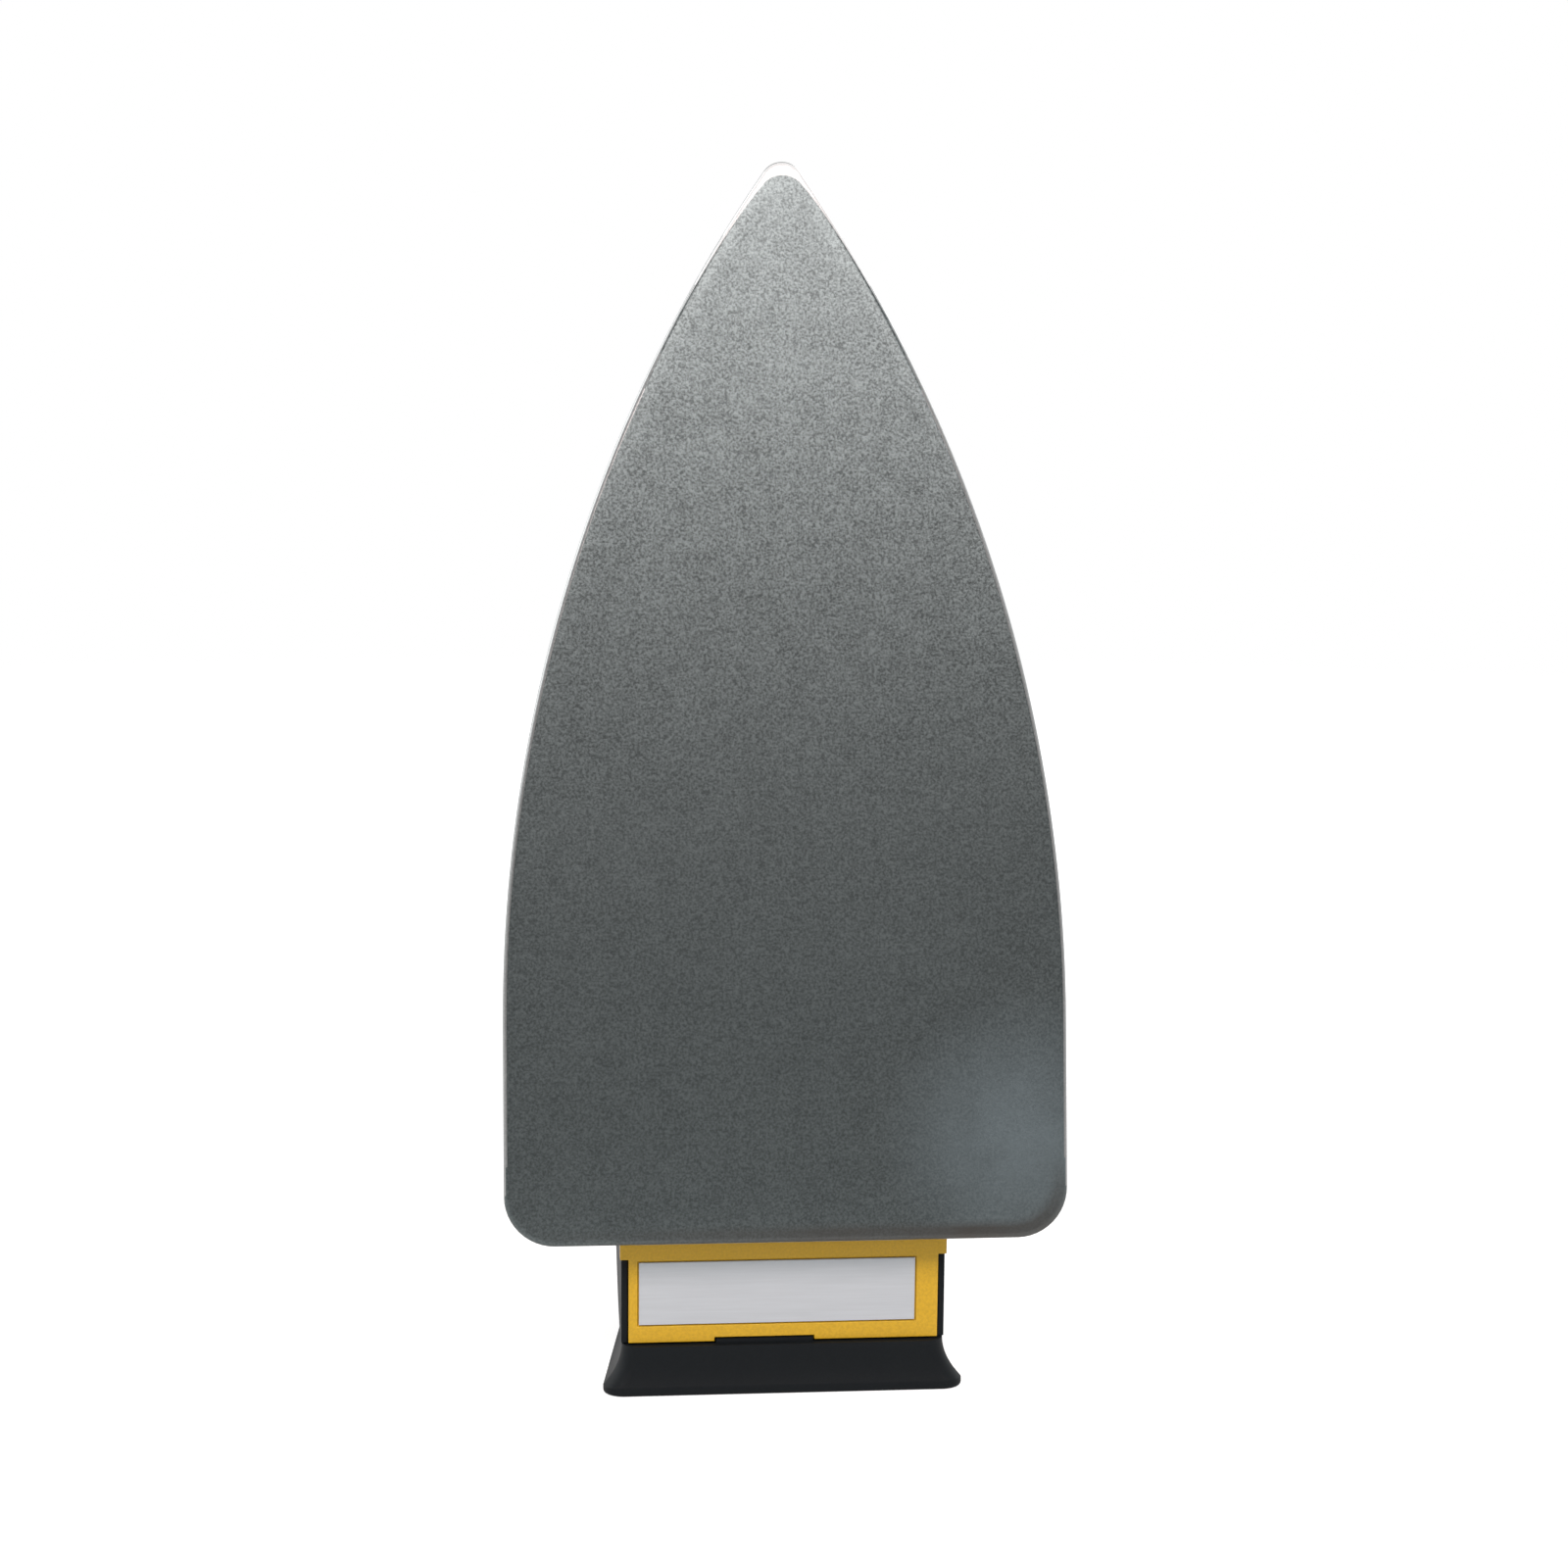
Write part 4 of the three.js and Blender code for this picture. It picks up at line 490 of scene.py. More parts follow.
class Plan:
    """The iron's forms, worked out in millimetres from the sizes in the panel."""

    def __init__(self, sizes):
        self.sole_length = sizes.sole_length / MM
        self.sole_width = sizes.sole_width / MM
        self.clearance = sizes.sole_clearance / MM
        self.cover_top = sizes.cover_top / MM
        self.grip_top = sizes.grip_top / MM
        self.grip_under = sizes.grip_under / MM
        self.heel_height = sizes.heel_height / MM
        self.rest_depth = sizes.rest_depth / MM
        self.dial_radius = sizes.dial_radius / MM
        self.cover_rim = SOLE_EDGE_HEIGHT + SEAT
        self.cover_side_draw = self.sole_width / 2 - COVER_INSET - COVER_TOP_HALF_WIDTH
        edge_y = -self.rest_depth / 2 - HEEL_BEHIND_SOLE / math.cos(LEAN)
        edge_y += self.clearance * math.tan(LEAN)
        self.standing = Matrix.Translation((0, edge_y, self.clearance)) @ Matrix.Rotation(-LEAN, 4, "X")
        self.lying = self.standing.inverted()
        self.on_panel = (
            Matrix.Translation((0, PANEL_FACE, PANEL_TOP))
            @ Matrix.Rotation(PANEL_SLOPE, 4, "X")
            @ Matrix.Rotation(math.pi, 4, "X")
        )
        under = self.cover_top - 2 * COVER_WALL
        rise = (LENS_HEIGHT - under) / (self.grip_under - under)
        lens_face = GAP_MIDDLE + GAP_HALF * (1 - rise**GAP_EXPONENT) ** (1 / GAP_EXPONENT) + LENS_SINK
        self.lamp_bore_z = lens_face + LAMP_BORE_INSET
        self.lens_place = Matrix.Translation((0, LENS_HEIGHT, lens_face)) @ Matrix.Rotation(
            -math.radians(90 - LENS_TILT), 4, "X"
        )
        gland_y = self.section_top(GLAND_Z) - GLAND_SINK
        self.gland_place = Matrix.Translation((0, gland_y, GLAND_Z)) @ Matrix.Rotation(
            -math.radians(GLAND_TILT), 4, "X"
        )

    def sole_ring(self, y, half_width, rear, tip, nose_radius, corner_radius):
        """Parallel sides, two long arcs, a small round tip and two round rear corners."""
        rise = tip - nose_radius - SOLE_STRAIGHT
        radius = (half_width**2 + rise**2 - nose_radius**2) / (2 * (half_width - nose_radius))
        sweep = math.atan2(rise, radius - half_width)
        corner = rear + corner_radius
        right = []

        def arc(x, z, r, angles):
            right.extend((x + r * math.cos(t), z + r * math.sin(t)) for t in angles)

        arc(half_width - corner_radius, corner, corner_radius, evenly(-math.pi / 2, 0, CORNER_STEPS))
        right += [(half_width, z) for z in evenly(corner, SOLE_STRAIGHT, SOLE_SIDE_STEPS)[1:-1]]
        arc(half_width - radius, SOLE_STRAIGHT, radius, evenly(0, sweep, SOLE_ARC_STEPS))
        arc(0, tip - nose_radius, nose_radius, evenly(sweep, math.pi / 2, CORNER_STEPS)[1:])
        left = [(-x, z) for x, z in reversed(right[:-1])]
        return [Vector((x, y, z)) for x, z in right + left]

    def inset_sole(self, y, inset, tip_inset):
        """The outline at a height, drawn in by one inset at the sides and rear, by another at the tip."""
        return self.sole_ring(
            y,
            self.sole_width / 2 - inset,
            inset,
            self.sole_length - tip_inset,
            SOLE_NOSE_RADIUS,
            SOLE_CORNER_RADIUS - inset / 2,
        )

    def cover_ring(self, share, shrink):
        """One ring of the cover, from its rim (share 0) to its flat top (share 1)."""
        a = share * math.pi / 2
        draw = 1 - math.cos(a)
        nose = NOSE_SLOPE_SHARE * math.sin(a) + (1 - NOSE_SLOPE_SHARE) * draw
        return self.sole_ring(
            self.cover_rim + (self.cover_top - self.cover_rim - shrink) * math.sin(a),
            self.sole_width / 2 - COVER_INSET - self.cover_side_draw * draw - shrink,
            COVER_INSET + COVER_REAR_DRAW * draw + shrink,
            self.sole_length - COVER_INSET - COVER_NOSE_DRAW * nose - 2 * shrink,
            lerp(COVER_NOSE_RADIUS, COVER_TOP_NOSE_RADIUS, share),
            lerp(COVER_CORNER_RADIUS, COVER_TOP_CORNER_RADIUS, share) - shrink / 2,
        )

    def cover_form(self, shrink, drop=0.0):
        """The cover's rings drawn in by shrink, run down past the rim by drop."""
        rings = [self.cover_ring(share, shrink) for share in evenly(0, 1, COVER_STEPS)]
        if drop:
            rings.insert(0, [p - Vector((0, drop, 0)) for p in rings[0]])
        return rings

    def section_top(self, z):
        """Height of the handle's top along the iron, round at both ends."""
        crown = GRIP_CROWN * smooth(1 - abs(z - GAP_MIDDLE) / GAP_HALF)
        if z < HOUSING_BACK_START:
            u = min((HOUSING_BACK_START - z) / (HOUSING_BACK_START - HOUSING_BACK), 1)
            height = (1 - u**HOUSING_BACK_EXPONENT) ** (1 / HOUSING_BACK_EXPONENT)
            return lerp(HOUSING_BACK_FOOT, self.grip_top, height) + crown
        if z > HANDLE_FRONT_START:
            u = (z - HANDLE_FRONT_START) / (HANDLE_FRONT - HANDLE_FRONT_START)
            height = (1 - u**HANDLE_FRONT_EXPONENT) ** (1 / HANDLE_FRONT_EXPONENT)
            return lerp(HANDLE_FRONT_FOOT, self.grip_top, height) + crown
        return self.grip_top + crown

    def section_bottom(self, z):
        """Height of the handle's underside: an arch over the finger gap, and low past its ends."""
        u = abs(z - GAP_MIDDLE) / GAP_HALF
        if u >= 1:
            return -HOUSING_FLOOR_DROP if z < GAP_MIDDLE else 0.0
        height = (1 - u**GAP_EXPONENT) ** (1 / GAP_EXPONENT)
        return lerp(self.cover_top - 2 * COVER_WALL, self.grip_under, height)

    def section_half_width(self, y, z):
        """Half the handle's width, which spreads low at the rear and narrows at the front post."""
        if z > GAP_MIDDLE:
            forward = smooth((z - HANDLE_FRONT_START) / (GAP_FRONT - HANDLE_FRONT_START))
            return lerp(GRIP_HALF_WIDTH, POST_HALF_WIDTH, forward)
        back = 1 - smooth((z - HOUSING_SPREAD_REAR) / (HOUSING_SPREAD_FRONT - HOUSING_SPREAD_REAR))
        low = 1 - smooth((y - HOUSING_SPREAD_LOW) / (HOUSING_SPREAD_HIGH - HOUSING_SPREAD_LOW))
        return GRIP_HALF_WIDTH + (HOUSING_HALF_WIDTH - GRIP_HALF_WIDTH) * back * low

    def handle_ring(self, z, wall=0.0):
        """A section of the handle. At the gap's ends and past them it is straight-sided below its
        widest line. Over the first stretch of the gap it turns into the grip's, round all the way."""
        bottom, top = self.section_bottom(z), self.section_top(z) - wall
        at_rear = z < GAP_MIDDLE
        grip = smooth((GAP_HALF - abs(z - GAP_MIDDLE)) / GAP_BLEND)
        housed = (top - (HOUSING_FLOOR_DROP if at_rear else 0.0)) / 2
        widest = lerp(housed, (top + bottom) / 2, grip)
        upper = lerp(HOUSING_EXPONENT if at_rear else GRIP_EXPONENT, GRIP_EXPONENT, grip)
        lower = lerp(HOUSING_FOOT_EXPONENT, GRIP_EXPONENT, grip)
        line = max(widest, bottom)
        start = math.asin(((line - widest) / (top - widest)) ** (upper / 2))

        def point(share, y):
            return Vector((share * (self.section_half_width(y, z) - wall), y, z))

        def power(value, exponent):
            return math.copysign(abs(value) ** (2 / exponent), value)

        over = []
        for a in evenly(start, math.pi - start, RING_STEPS // 2):
            height = widest + (top - widest) * power(math.sin(a), upper)
            over.append(point(power(math.cos(a), upper), height))
        under = []
        for a in evenly(0, math.pi, RING_STEPS // 2)[1:-1]:
            share = power(math.cos(start), upper) * power(-math.cos(a), lower)
            under.append(point(share, line - (line - bottom) * power(math.sin(a), lower)))
        return over + under

    def back_stations(self, to, steps):
        """Places closer together towards the back of the housing, where it turns down."""
        return [lerp(HOUSING_BACK + SEAT, to, t**BACK_CROWDING) for t in evenly(0, 1, steps)]

    def handle_form(self):
        """The whole handle's sections, closer together at both ends of the finger gap."""
        stations = self.back_stations(GAP_REAR - SEAT, HOUSING_STEPS)
        turns = [math.pi * i / GAP_STEPS for i in range(1, GAP_STEPS)]
        stations += [GAP_MIDDLE - GAP_HALF * math.cos(turn) for turn in turns]
        stations += evenly(GAP_FRONT + SEAT, HANDLE_FRONT - OVERRUN, FRONT_STEPS)
        return self.run_back([self.handle_ring(z) for z in stations])

    def room_form(self, wall):
        """The housing's form drawn in by a wall."""
        stations = self.back_stations(WIRE_OPENING_FRONT, ROOM_STEPS)
        return self.run_back([self.handle_ring(z, wall) for z in stations])

    def run_back(self, rings):
        """Runs a form back past the heel, as wide as its first section."""
        return [[Vector((p.x, p.y, -self.clearance)) for p in rings[0]]] + rings

    def heel_ring(self, z, inset=0.0):
        """One ring of the heel rest, in the standing frame. It flares towards the table."""
        up = min(max((z - HEEL_LIP) / (self.heel_height - HEEL_LIP), 0), 1)
        drawn = 1 - (1 - up) ** HEEL_FLARE_EXPONENT
        half = lerp(REST_HALF_WIDTH, HEEL_TOP_HALF_WIDTH, drawn) - inset
        far_half = lerp(REST_FAR_HALF_WIDTH, HEEL_TOP_FAR_HALF_WIDTH, drawn) - inset
        near = -self.rest_depth / 2 + HEEL_TOP_NEAR * drawn + inset
        far = self.rest_depth / 2 - HEEL_TOP_FAR * drawn - inset
        corners = [
            (far_half - HEEL_FAR_CORNER, far - HEEL_FAR_CORNER, HEEL_FAR_CORNER),
            (-far_half + HEEL_FAR_CORNER, far - HEEL_FAR_CORNER, HEEL_FAR_CORNER),
            (-half + HEEL_NEAR_CORNER, near + HEEL_NEAR_CORNER, HEEL_NEAR_CORNER),
            (half - HEEL_NEAR_CORNER, near + HEEL_NEAR_CORNER, HEEL_NEAR_CORNER),
        ]
        points = []
        for quarter, (x, y, r) in enumerate(corners):
            for t in evenly(0, math.pi / 2, CORNER_STEPS):
                a = math.pi / 2 * quarter + t
                points.append(Vector((x + r * math.cos(a), y + r * math.sin(a), z)))
        return points


# Meshes


def loft(rings, close=False):
    """A closed skin over rings of equal point counts: flat caps, or a tube closed on itself."""
    mesh = bmesh.new()
    rows = [[mesh.verts.new(p) for p in ring] for ring in rings]
    count = len(rows[0])
    pairs = list(zip(rows, rows[1:]))
    if close:
        pairs.append((rows[-1], rows[0]))
    for a, b in pairs:
        for i in range(count):
            j = (i + 1) % count
            mesh.faces.new((a[i], a[j], b[j], b[i]))
    if not close:
        mesh.faces.new(list(reversed(rows[0])))
        mesh.faces.new(rows[-1])
    bmesh.ops.recalc_face_normals(mesh, faces=mesh.faces)
    return mesh


def turned(profile, steps=RING_STEPS, close=False):
    """A turned form about +Y; its profile of (radius, height) starts and ends near the axis."""
    rings = []
    for i in range(steps):
        a = 2 * math.pi * i / steps
        rings.append([Vector((r * math.cos(a), y, r * math.sin(a))) for r, y in profile])
    mesh = bmesh.new()
    rows = [[mesh.verts.new(p) for p in ring] for ring in rings]
    last = len(profile) if close else len(profile) - 1
    for i in range(steps):
        a, b = rows[i], rows[(i + 1) % steps]
        for k in range(last):
            m = (k + 1) % len(profile)
            mesh.faces.new((a[k], a[m], b[m], b[k]))
    bmesh.ops.remove_doubles(mesh, verts=mesh.verts, dist=WELD)
    bmesh.ops.recalc_face_normals(mesh, faces=mesh.faces)
    return mesh


def extruded(outline, start, end):
    """A plate over an outline of pairs across and along, from start to end along Y."""
    return loft([[Vector((x, y, z)) for x, z in outline] for y in (start, end)])


def box(x0, x1, y0, y1, z0, z1):
    """A block between two places on each axis."""
    return extruded([(x0, z0), (x1, z0), (x1, z1), (x0, z1)], y0, y1)


def rod(radius, y0, y1, x=0.0, z=0.0, steps=ROUND_STEPS):
    """A round bar along +Y."""
    mesh = turned([(0, y0), (radius, y0), (radius, y1), (0, y1)], steps)
    bmesh.ops.translate(mesh, vec=(x, 0, z), verts=mesh.verts)
    return mesh


def frame_solid(node):
    """A copy of one of the frame's own solids, in millimetres in the standing frame."""
    mesh = bmesh.new()
    mesh.from_mesh(frame["nodes"][node].data)
    bmesh.ops.scale(mesh, vec=(1 / MM, 1 / MM, 1 / MM), verts=mesh.verts)
    bmesh.ops.remove_doubles(mesh, verts=mesh.verts, dist=FRAME_WELD)
    return mesh


def add_mesh(mesh, other):
    """Adds another mesh's faces to a mesh, and frees the other."""
    data = bpy.data.meshes.new("part")
    other.to_mesh(data)
    other.free()
    mesh.from_mesh(data)
    bpy.data.meshes.remove(data)


def upright(mesh, x, y):
    """Stands a form along +Y on the table's +Z, at a place."""
    matrix = Matrix.Translation((x, y, 0)) @ Matrix.Rotation(math.pi / 2, 4, "X")
    bmesh.ops.transform(mesh, matrix=matrix, verts=mesh.verts)
    return mesh


def object_of(name, mesh, matrix=None):
    """A bmesh in millimetres as an object in metres in the standing frame."""
    place = Matrix.Scale(MM, 4) @ (matrix or Matrix.Identity(4))
    bmesh.ops.transform(mesh, matrix=place, verts=mesh.verts)
    bmesh.ops.recalc_face_normals(mesh, faces=mesh.faces)
    data = bpy.data.meshes.new(name)
    mesh.to_mesh(data)
    mesh.free()
    thing = bpy.data.objects.new(name, data)
    bpy.context.scene.collection.objects.link(thing)
    return thing


def carve(thing, *tools, operation="DIFFERENCE"):
    """Cuts tools out of a thing in turn, or joins or crosses them with it, and removes them."""
    for tool in tools:
        modifier = thing.modifiers.new("carve", "BOOLEAN")
        modifier.operation = operation
        modifier.solver = "MANIFOLD"
        modifier.object = tool
        bake(thing)
        bpy.data.objects.remove(tool)
    return thing


def join(thing, *tools):
    return carve(thing, *tools, operation="UNION")


def common(thing, tool):
    return carve(thing, tool, operation="INTERSECT")


def bake(thing):
    """Applies the modifiers of an object to its mesh."""
    graph = bpy.context.evaluated_depsgraph_get()
    data = bpy.data.meshes.new_from_object(thing.evaluated_get(graph))
    thing.modifiers.clear()
    old = thing.data
    thing.data = data
    bpy.data.meshes.remove(old)
    return thing


def soften(thing, width, angle=SHARP_ANGLE):
    """Rounds the sharp edges by a width in millimetres, if any, and shades the rest smooth."""
    if width:
        modifier = thing.modifiers.new("edges", "BEVEL")
        modifier.width = width * MM
        modifier.segments = BEVEL_STEPS
        modifier.limit_method = "ANGLE"
        modifier.angle_limit = angle
        bake(thing)
    thing.data.shade_smooth()
    thing.data.set_sharp_from_angle(angle=angle)
    modifier = thing.modifiers.new("shading", "WEIGHTED_NORMAL")
    modifier.mode = "FACE_AREA"
    modifier.keep_sharp = True
    return bake(thing)


def finish_piece(thing, material, body, slot, *replaced):
    """Gives a piece its finish, the body it rides on and the frame's nodes it stands for, which it hides; the slot
    is not used.
    """
    thing.data.materials.clear()
    thing.data.materials.append(material)
    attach(thing, body)
    if replaced:
        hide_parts(*replaced)


# Materials


class Nodes:
    """Short ways to add and link shader nodes."""

    def __init__(self, name):
        self.material = bpy.data.materials.new(name)
        self.material.use_nodes = True
        self.tree = self.material.node_tree
        self.shader = self.tree.nodes["Principled BSDF"]
        self.place = self.add("ShaderNodeTexCoord").outputs["Object"]

    @classmethod
    def of_world(cls, world):
        """The same short ways for a world's tree."""
        m = cls.__new__(cls)
        m.tree = world.node_tree
        m.tree.nodes.clear()
        return m

    def path(self, ray):
        return self.add("ShaderNodeLightPath").outputs[ray]

    def times(self, value, factor):
        """A value times a number."""
        node = self.add("ShaderNodeMath", operation="MULTIPLY")
        node.inputs[1].default_value = factor
        self.link(value, node.inputs[0])
        return node.outputs[0]

    def sum_of(self, *values):
        total = values[0]
        for value in values[1:]:
            node = self.add("ShaderNodeMath", operation="ADD")
            self.link(total, node.inputs[0])
            self.link(value, node.inputs[1])
            total = node.outputs[0]
        return total

    def glossy_sight(self, place, front, back):
        """What gloss sees: grey before the iron, turning white behind it."""
        split = self.add("ShaderNodeSeparateXYZ")
        self.link(place, split.inputs[0])
        tone = self.spread(split.outputs["Y"], FRONT_GREY, 1, front, back)
        return self.both(self.path("Is Glossy Ray"), tone)

    def both(self, first, second):
        """Two values multiplied, so that it holds only where both do."""
        node = self.add("ShaderNodeMath", operation="MULTIPLY")
        self.link(first, node.inputs[0])
        self.link(second, node.inputs[1])
        return node.outputs[0]

    def add(self, kind, **values):
        node = self.tree.nodes.new(kind)
        for key, value in values.items():
            setattr(node, key, value)
        return node

    def link(self, a, b):
        self.tree.links.new(a, b)

    def noise(self, size, detail=2.0, roughness=0.5, stretch=None):
        """Noise with features of about the given size in metres."""
        node = self.add("ShaderNodeTexNoise")
        node.inputs["Scale"].default_value = 1 / size
        node.inputs["Detail"].default_value = detail
        node.inputs["Roughness"].default_value = roughness
        place = self.place
        if stretch:
            mapping = self.add("ShaderNodeMapping")
            mapping.inputs["Scale"].default_value = stretch
            self.link(place, mapping.inputs["Vector"])
            place = mapping.outputs["Vector"]
        self.link(place, node.inputs["Vector"])
        return node.outputs["Fac"]

    def spread(self, value, low, high, start=NOISE_LOW, end=NOISE_HIGH):
        """A value's run from start to end spread over low to high, and held there past them."""
        node = self.add("ShaderNodeMapRange")
        node.inputs["From Min"].default_value = start
        node.inputs["From Max"].default_value = end
        node.inputs["To Min"].default_value = low
        node.inputs["To Max"].default_value = high
        self.link(value, node.inputs["Value"])
        return node.outputs["Result"]

    def shades(self, value, dark, light):
        """A colour between two shades."""
        node = self.add("ShaderNodeMix", data_type="RGBA")
        node.inputs["A"].default_value = (*dark, 1)
        node.inputs["B"].default_value = (*light, 1)
        self.link(value, node.inputs["Factor"])
        return node.outputs["Result"]

    def tinted(self, value, colour, other):
        """A linked colour turning to a plain one."""
        node = self.add("ShaderNodeMix", data_type="RGBA")
        node.inputs["B"].default_value = (*other, 1)
        self.link(colour, node.inputs["A"])
        self.link(value, node.inputs["Factor"])
        return node.outputs["Result"]

    def distance(self, place=(0, 0, 0)):
        """How far a point of the surface lies from a place."""
        node = self.add("ShaderNodeVectorMath", operation="DISTANCE")
        node.inputs[1].default_value = place
        self.link(self.place, node.inputs[0])
        return node.outputs["Value"]

    def nearness(self, place, radius):
        """How near a point of the surface lies to a place: 1 there, 0 at the radius."""
        return self.spread(self.distance(place), 1, 0, 0, radius)

    def along(self, direction, start):
        """How far a point of the surface lies from a start along a direction."""
        node = self.add("ShaderNodeVectorMath", operation="DOT_PRODUCT")
        offset = self.add("ShaderNodeVectorMath", operation="SUBTRACT")
        offset.inputs[1].default_value = start
        node.inputs[1].default_value = direction
        self.link(self.place, offset.inputs[0])
        self.link(offset.outputs["Vector"], node.inputs[0])
        return node.outputs["Value"]

    def mixed(self, first, second, factor):
        """Two values mixed by a factor."""
        node = self.add("ShaderNodeMix", data_type="FLOAT")
        node.inputs["Factor"].default_value = factor
        self.link(first, node.inputs["A"])
        self.link(second, node.inputs["B"])
        return node.outputs["Result"]

    def faded(self, value, factor):
        """A value drawn towards a half: fully at factor 0, not at all at 1."""
        node = self.add("ShaderNodeMix", data_type="FLOAT")
        node.inputs["A"].default_value = 0.5
        self.link(value, node.inputs["B"])
        self.link(factor, node.inputs["Factor"])
        return node.outputs["Result"]

    def bump(self, value, height, strength):
        """Raises the surface by a value, up to a height in metres."""
        node = self.add("ShaderNodeBump")
        node.inputs["Distance"].default_value = height
        node.inputs["Strength"].default_value = strength
        self.link(value, node.inputs["Height"])
        self.link(node.outputs["Normal"], self.shader.inputs["Normal"])

    def colour_by(self, grain, colour, dark, light):
        """The base colour, darkened and lightened by a grain."""
        tones = self.shades(self.spread(grain, 0, 1), shade(colour, dark), shade(colour, light))
        self.link(tones, self.shader.inputs["Base Color"])

    def roughness_by(self, grain, low, high):
        self.link(self.spread(grain, low, high), self.shader.inputs["Roughness"])

    def set(self, **values):
        """Sets the shader's own sockets, whose names have spaces for underscores."""
        for key, value in values.items():
            self.shader.inputs[key.replace("_", " ")].default_value = value


def shade(colour, factor):
    """A colour made darker or lighter, each part at most 1."""
    return tuple(min(c * factor, 1.0) for c in colour)


def coated_sole(colour, standing):
    """Satin grey coating with metal flakes, worn through at the tip and darker at the rear edge, with a painted
    glint in the flakes towards the top and a patch of painted reflection low on the right.
    """
    m = Nodes("sole_coating")
    m.set(Metallic=0.85, IOR=1.5)
    upward = m.along(Vector((0, 0, 1)), Vector())
    sideways = m.along(Vector((1, 0, 0)), Vector())
    height = m.along(standing.to_3x3() @ Vector((0, 1, 0)), standing.translation * MM)

    fleck = m.noise(size=0.00052, roughness=0.6)
    tone = m.mixed(m.spread(fleck, 0, 1), m.spread(m.noise(size=0.006), 0, 1), WISP_SHARE)
    # Painted glint: the grain's contrast grows towards the top of the sole, where the highlight falls.
    tone = m.faded(tone, m.spread(upward, GLINT_GRAIN_LOW, 1, *GLINT_GRAIN_ALONG))
    coat_with_painted_light = m.shades(tone, shade(colour, FLECK_DARK), shade(colour, FLECK_LIGHT))

    patchy = m.spread(m.noise(size=0.012, detail=4), PATCHY_SHARE, 1)
    # Painted reflection: a lighter patch, broken up by noise.
    reflection_patch = m.both(m.nearness(REFLECTION_PATCH_PLACE, REFLECTION_PATCH_RADIUS), patchy)
    bareness = m.sum_of(m.times(height, WORN_PER_HEIGHT), m.times(upward, WORN_PER_RISE))
    worn = m.spread(bareness, 0, 1, *WORN_BORDER)
    # Darker along the rear edge, where the face rolls off, broken up by noise and stronger to the right.
    dark_rear = m.both(m.spread(height, 0, 1, *DARK_REAR_HEIGHT), m.spread(upward, 1, 0, *DARK_REAR_ALONG))
    dark_rear = m.both(m.both(dark_rear, patchy), m.spread(sideways, 0, 1, *DARK_REAR_ACROSS))
    coat_with_painted_light = m.tinted(dark_rear, m.tinted(reflection_patch, coat_with_painted_light, REFLECTION_PATCH_COLOUR), DARK_REAR_COLOUR)
    m.link(m.tinted(worn, coat_with_painted_light, WORN_COLOUR), m.shader.inputs["Base Color"])

    rough = m.mixed(m.spread(fleck, 0.35, 0.44), m.spread(m.noise(size=0.03), 0.38, 0.40), factor=0.5)
    m.link(rough, m.shader.inputs["Roughness"])
    m.bump(fleck, height=0.00003, strength=0.8)
    return m.material


def bare_edge(colour):
    """Ground aluminium with fine marks."""
    m = Nodes("casting_edge")
    m.set(Metallic=0.85)
    ground = m.noise(size=0.0005, detail=3)
    m.colour_by(ground, colour, dark=0.9, light=1.06)
    m.roughness_by(ground, 0.30, 0.38)
    m.bump(ground, height=0.00001, strength=0.3)
    return m.material


def enamel(colour):
    """Smooth stoved enamel with a faint orange peel."""
    m = Nodes("cover_enamel")
    m.set(IOR=1.5, Coat_Weight=0.5, Coat_Roughness=0.07)
    peel = m.noise(size=0.0022, detail=1)
    m.colour_by(peel, colour, dark=0.985, light=1.015)
    m.roughness_by(peel, 0.30, 0.34)
    m.bump(peel, height=0.000012, strength=0.2)
    return m.material


def ink(colour):
    """Filled marks: matt ink with a little grain."""
    m = Nodes("mark_ink")
    grain = m.noise(size=0.0003)
    m.colour_by(grain, colour, dark=0.92, light=1)
    m.roughness_by(grain, 0.5, 0.6)
    return m.material


def moulded(name, colour, roughness, grain, depth, gloss=0.5):
    """Moulded plastic or ceramic with a fine grain, whose gloss varies a little over its face."""
    m = Nodes(name)
    m.set(IOR=1.49, Specular_IOR_Level=gloss)
    fine = m.noise(size=grain)
    m.colour_by(fine, colour, dark=0.93, light=1.07)
    m.roughness_by(m.noise(size=0.012), roughness - 0.03, roughness + 0.03)
    m.bump(fine, height=depth, strength=0.5)
    return m.material


def foil(colour):
    """Foil brushed across."""
    m = Nodes("label_foil")
    m.set(Metallic=0.25)
    brushed = m.noise(size=0.0006, stretch=(0.04, 1, 1))
    m.colour_by(brushed, colour, dark=0.97, light=1.03)
    m.roughness_by(brushed, 0.42, 0.5)
    return m.material


def metal(name, colour, roughness):
    """Bare or plated metal, slightly cloudy."""
    m = Nodes(name)
    m.set(Metallic=1.0)
    cloud = m.noise(size=0.0008, detail=3)
    m.colour_by(cloud, colour, dark=0.92, light=1.05)
    m.roughness_by(cloud, roughness - 0.05, roughness + 0.07)
    return m.material


def clear(name, colour, roughness):
    """Tinted glass or clear plastic."""
    m = Nodes(name)
    m.set(Base_Color=(*colour, 1), Transmission_Weight=0.7, IOR=1.49)
    m.roughness_by(m.noise(size=0.002), roughness, roughness + 0.05)
    return m.material


def woven(name, colour):
    """A woven sleeve with slanting threads."""
    m = Nodes(name)
    m.set(Roughness=0.85)
    weave = m.add("ShaderNodeTexWave", wave_type="BANDS", bands_direction="DIAGONAL")
    weave.inputs["Scale"].default_value = THREADS_SCALE
    m.link(m.place, weave.inputs["Vector"])
    threads = weave.outputs["Fac"]
    m.link(m.shades(threads, shade(colour, 0.8), colour), m.shader.inputs["Base Color"])
    m.bump(threads, height=0.00005, strength=0.4)
    return m.material


# Operators, one for each piece or group of like pieces


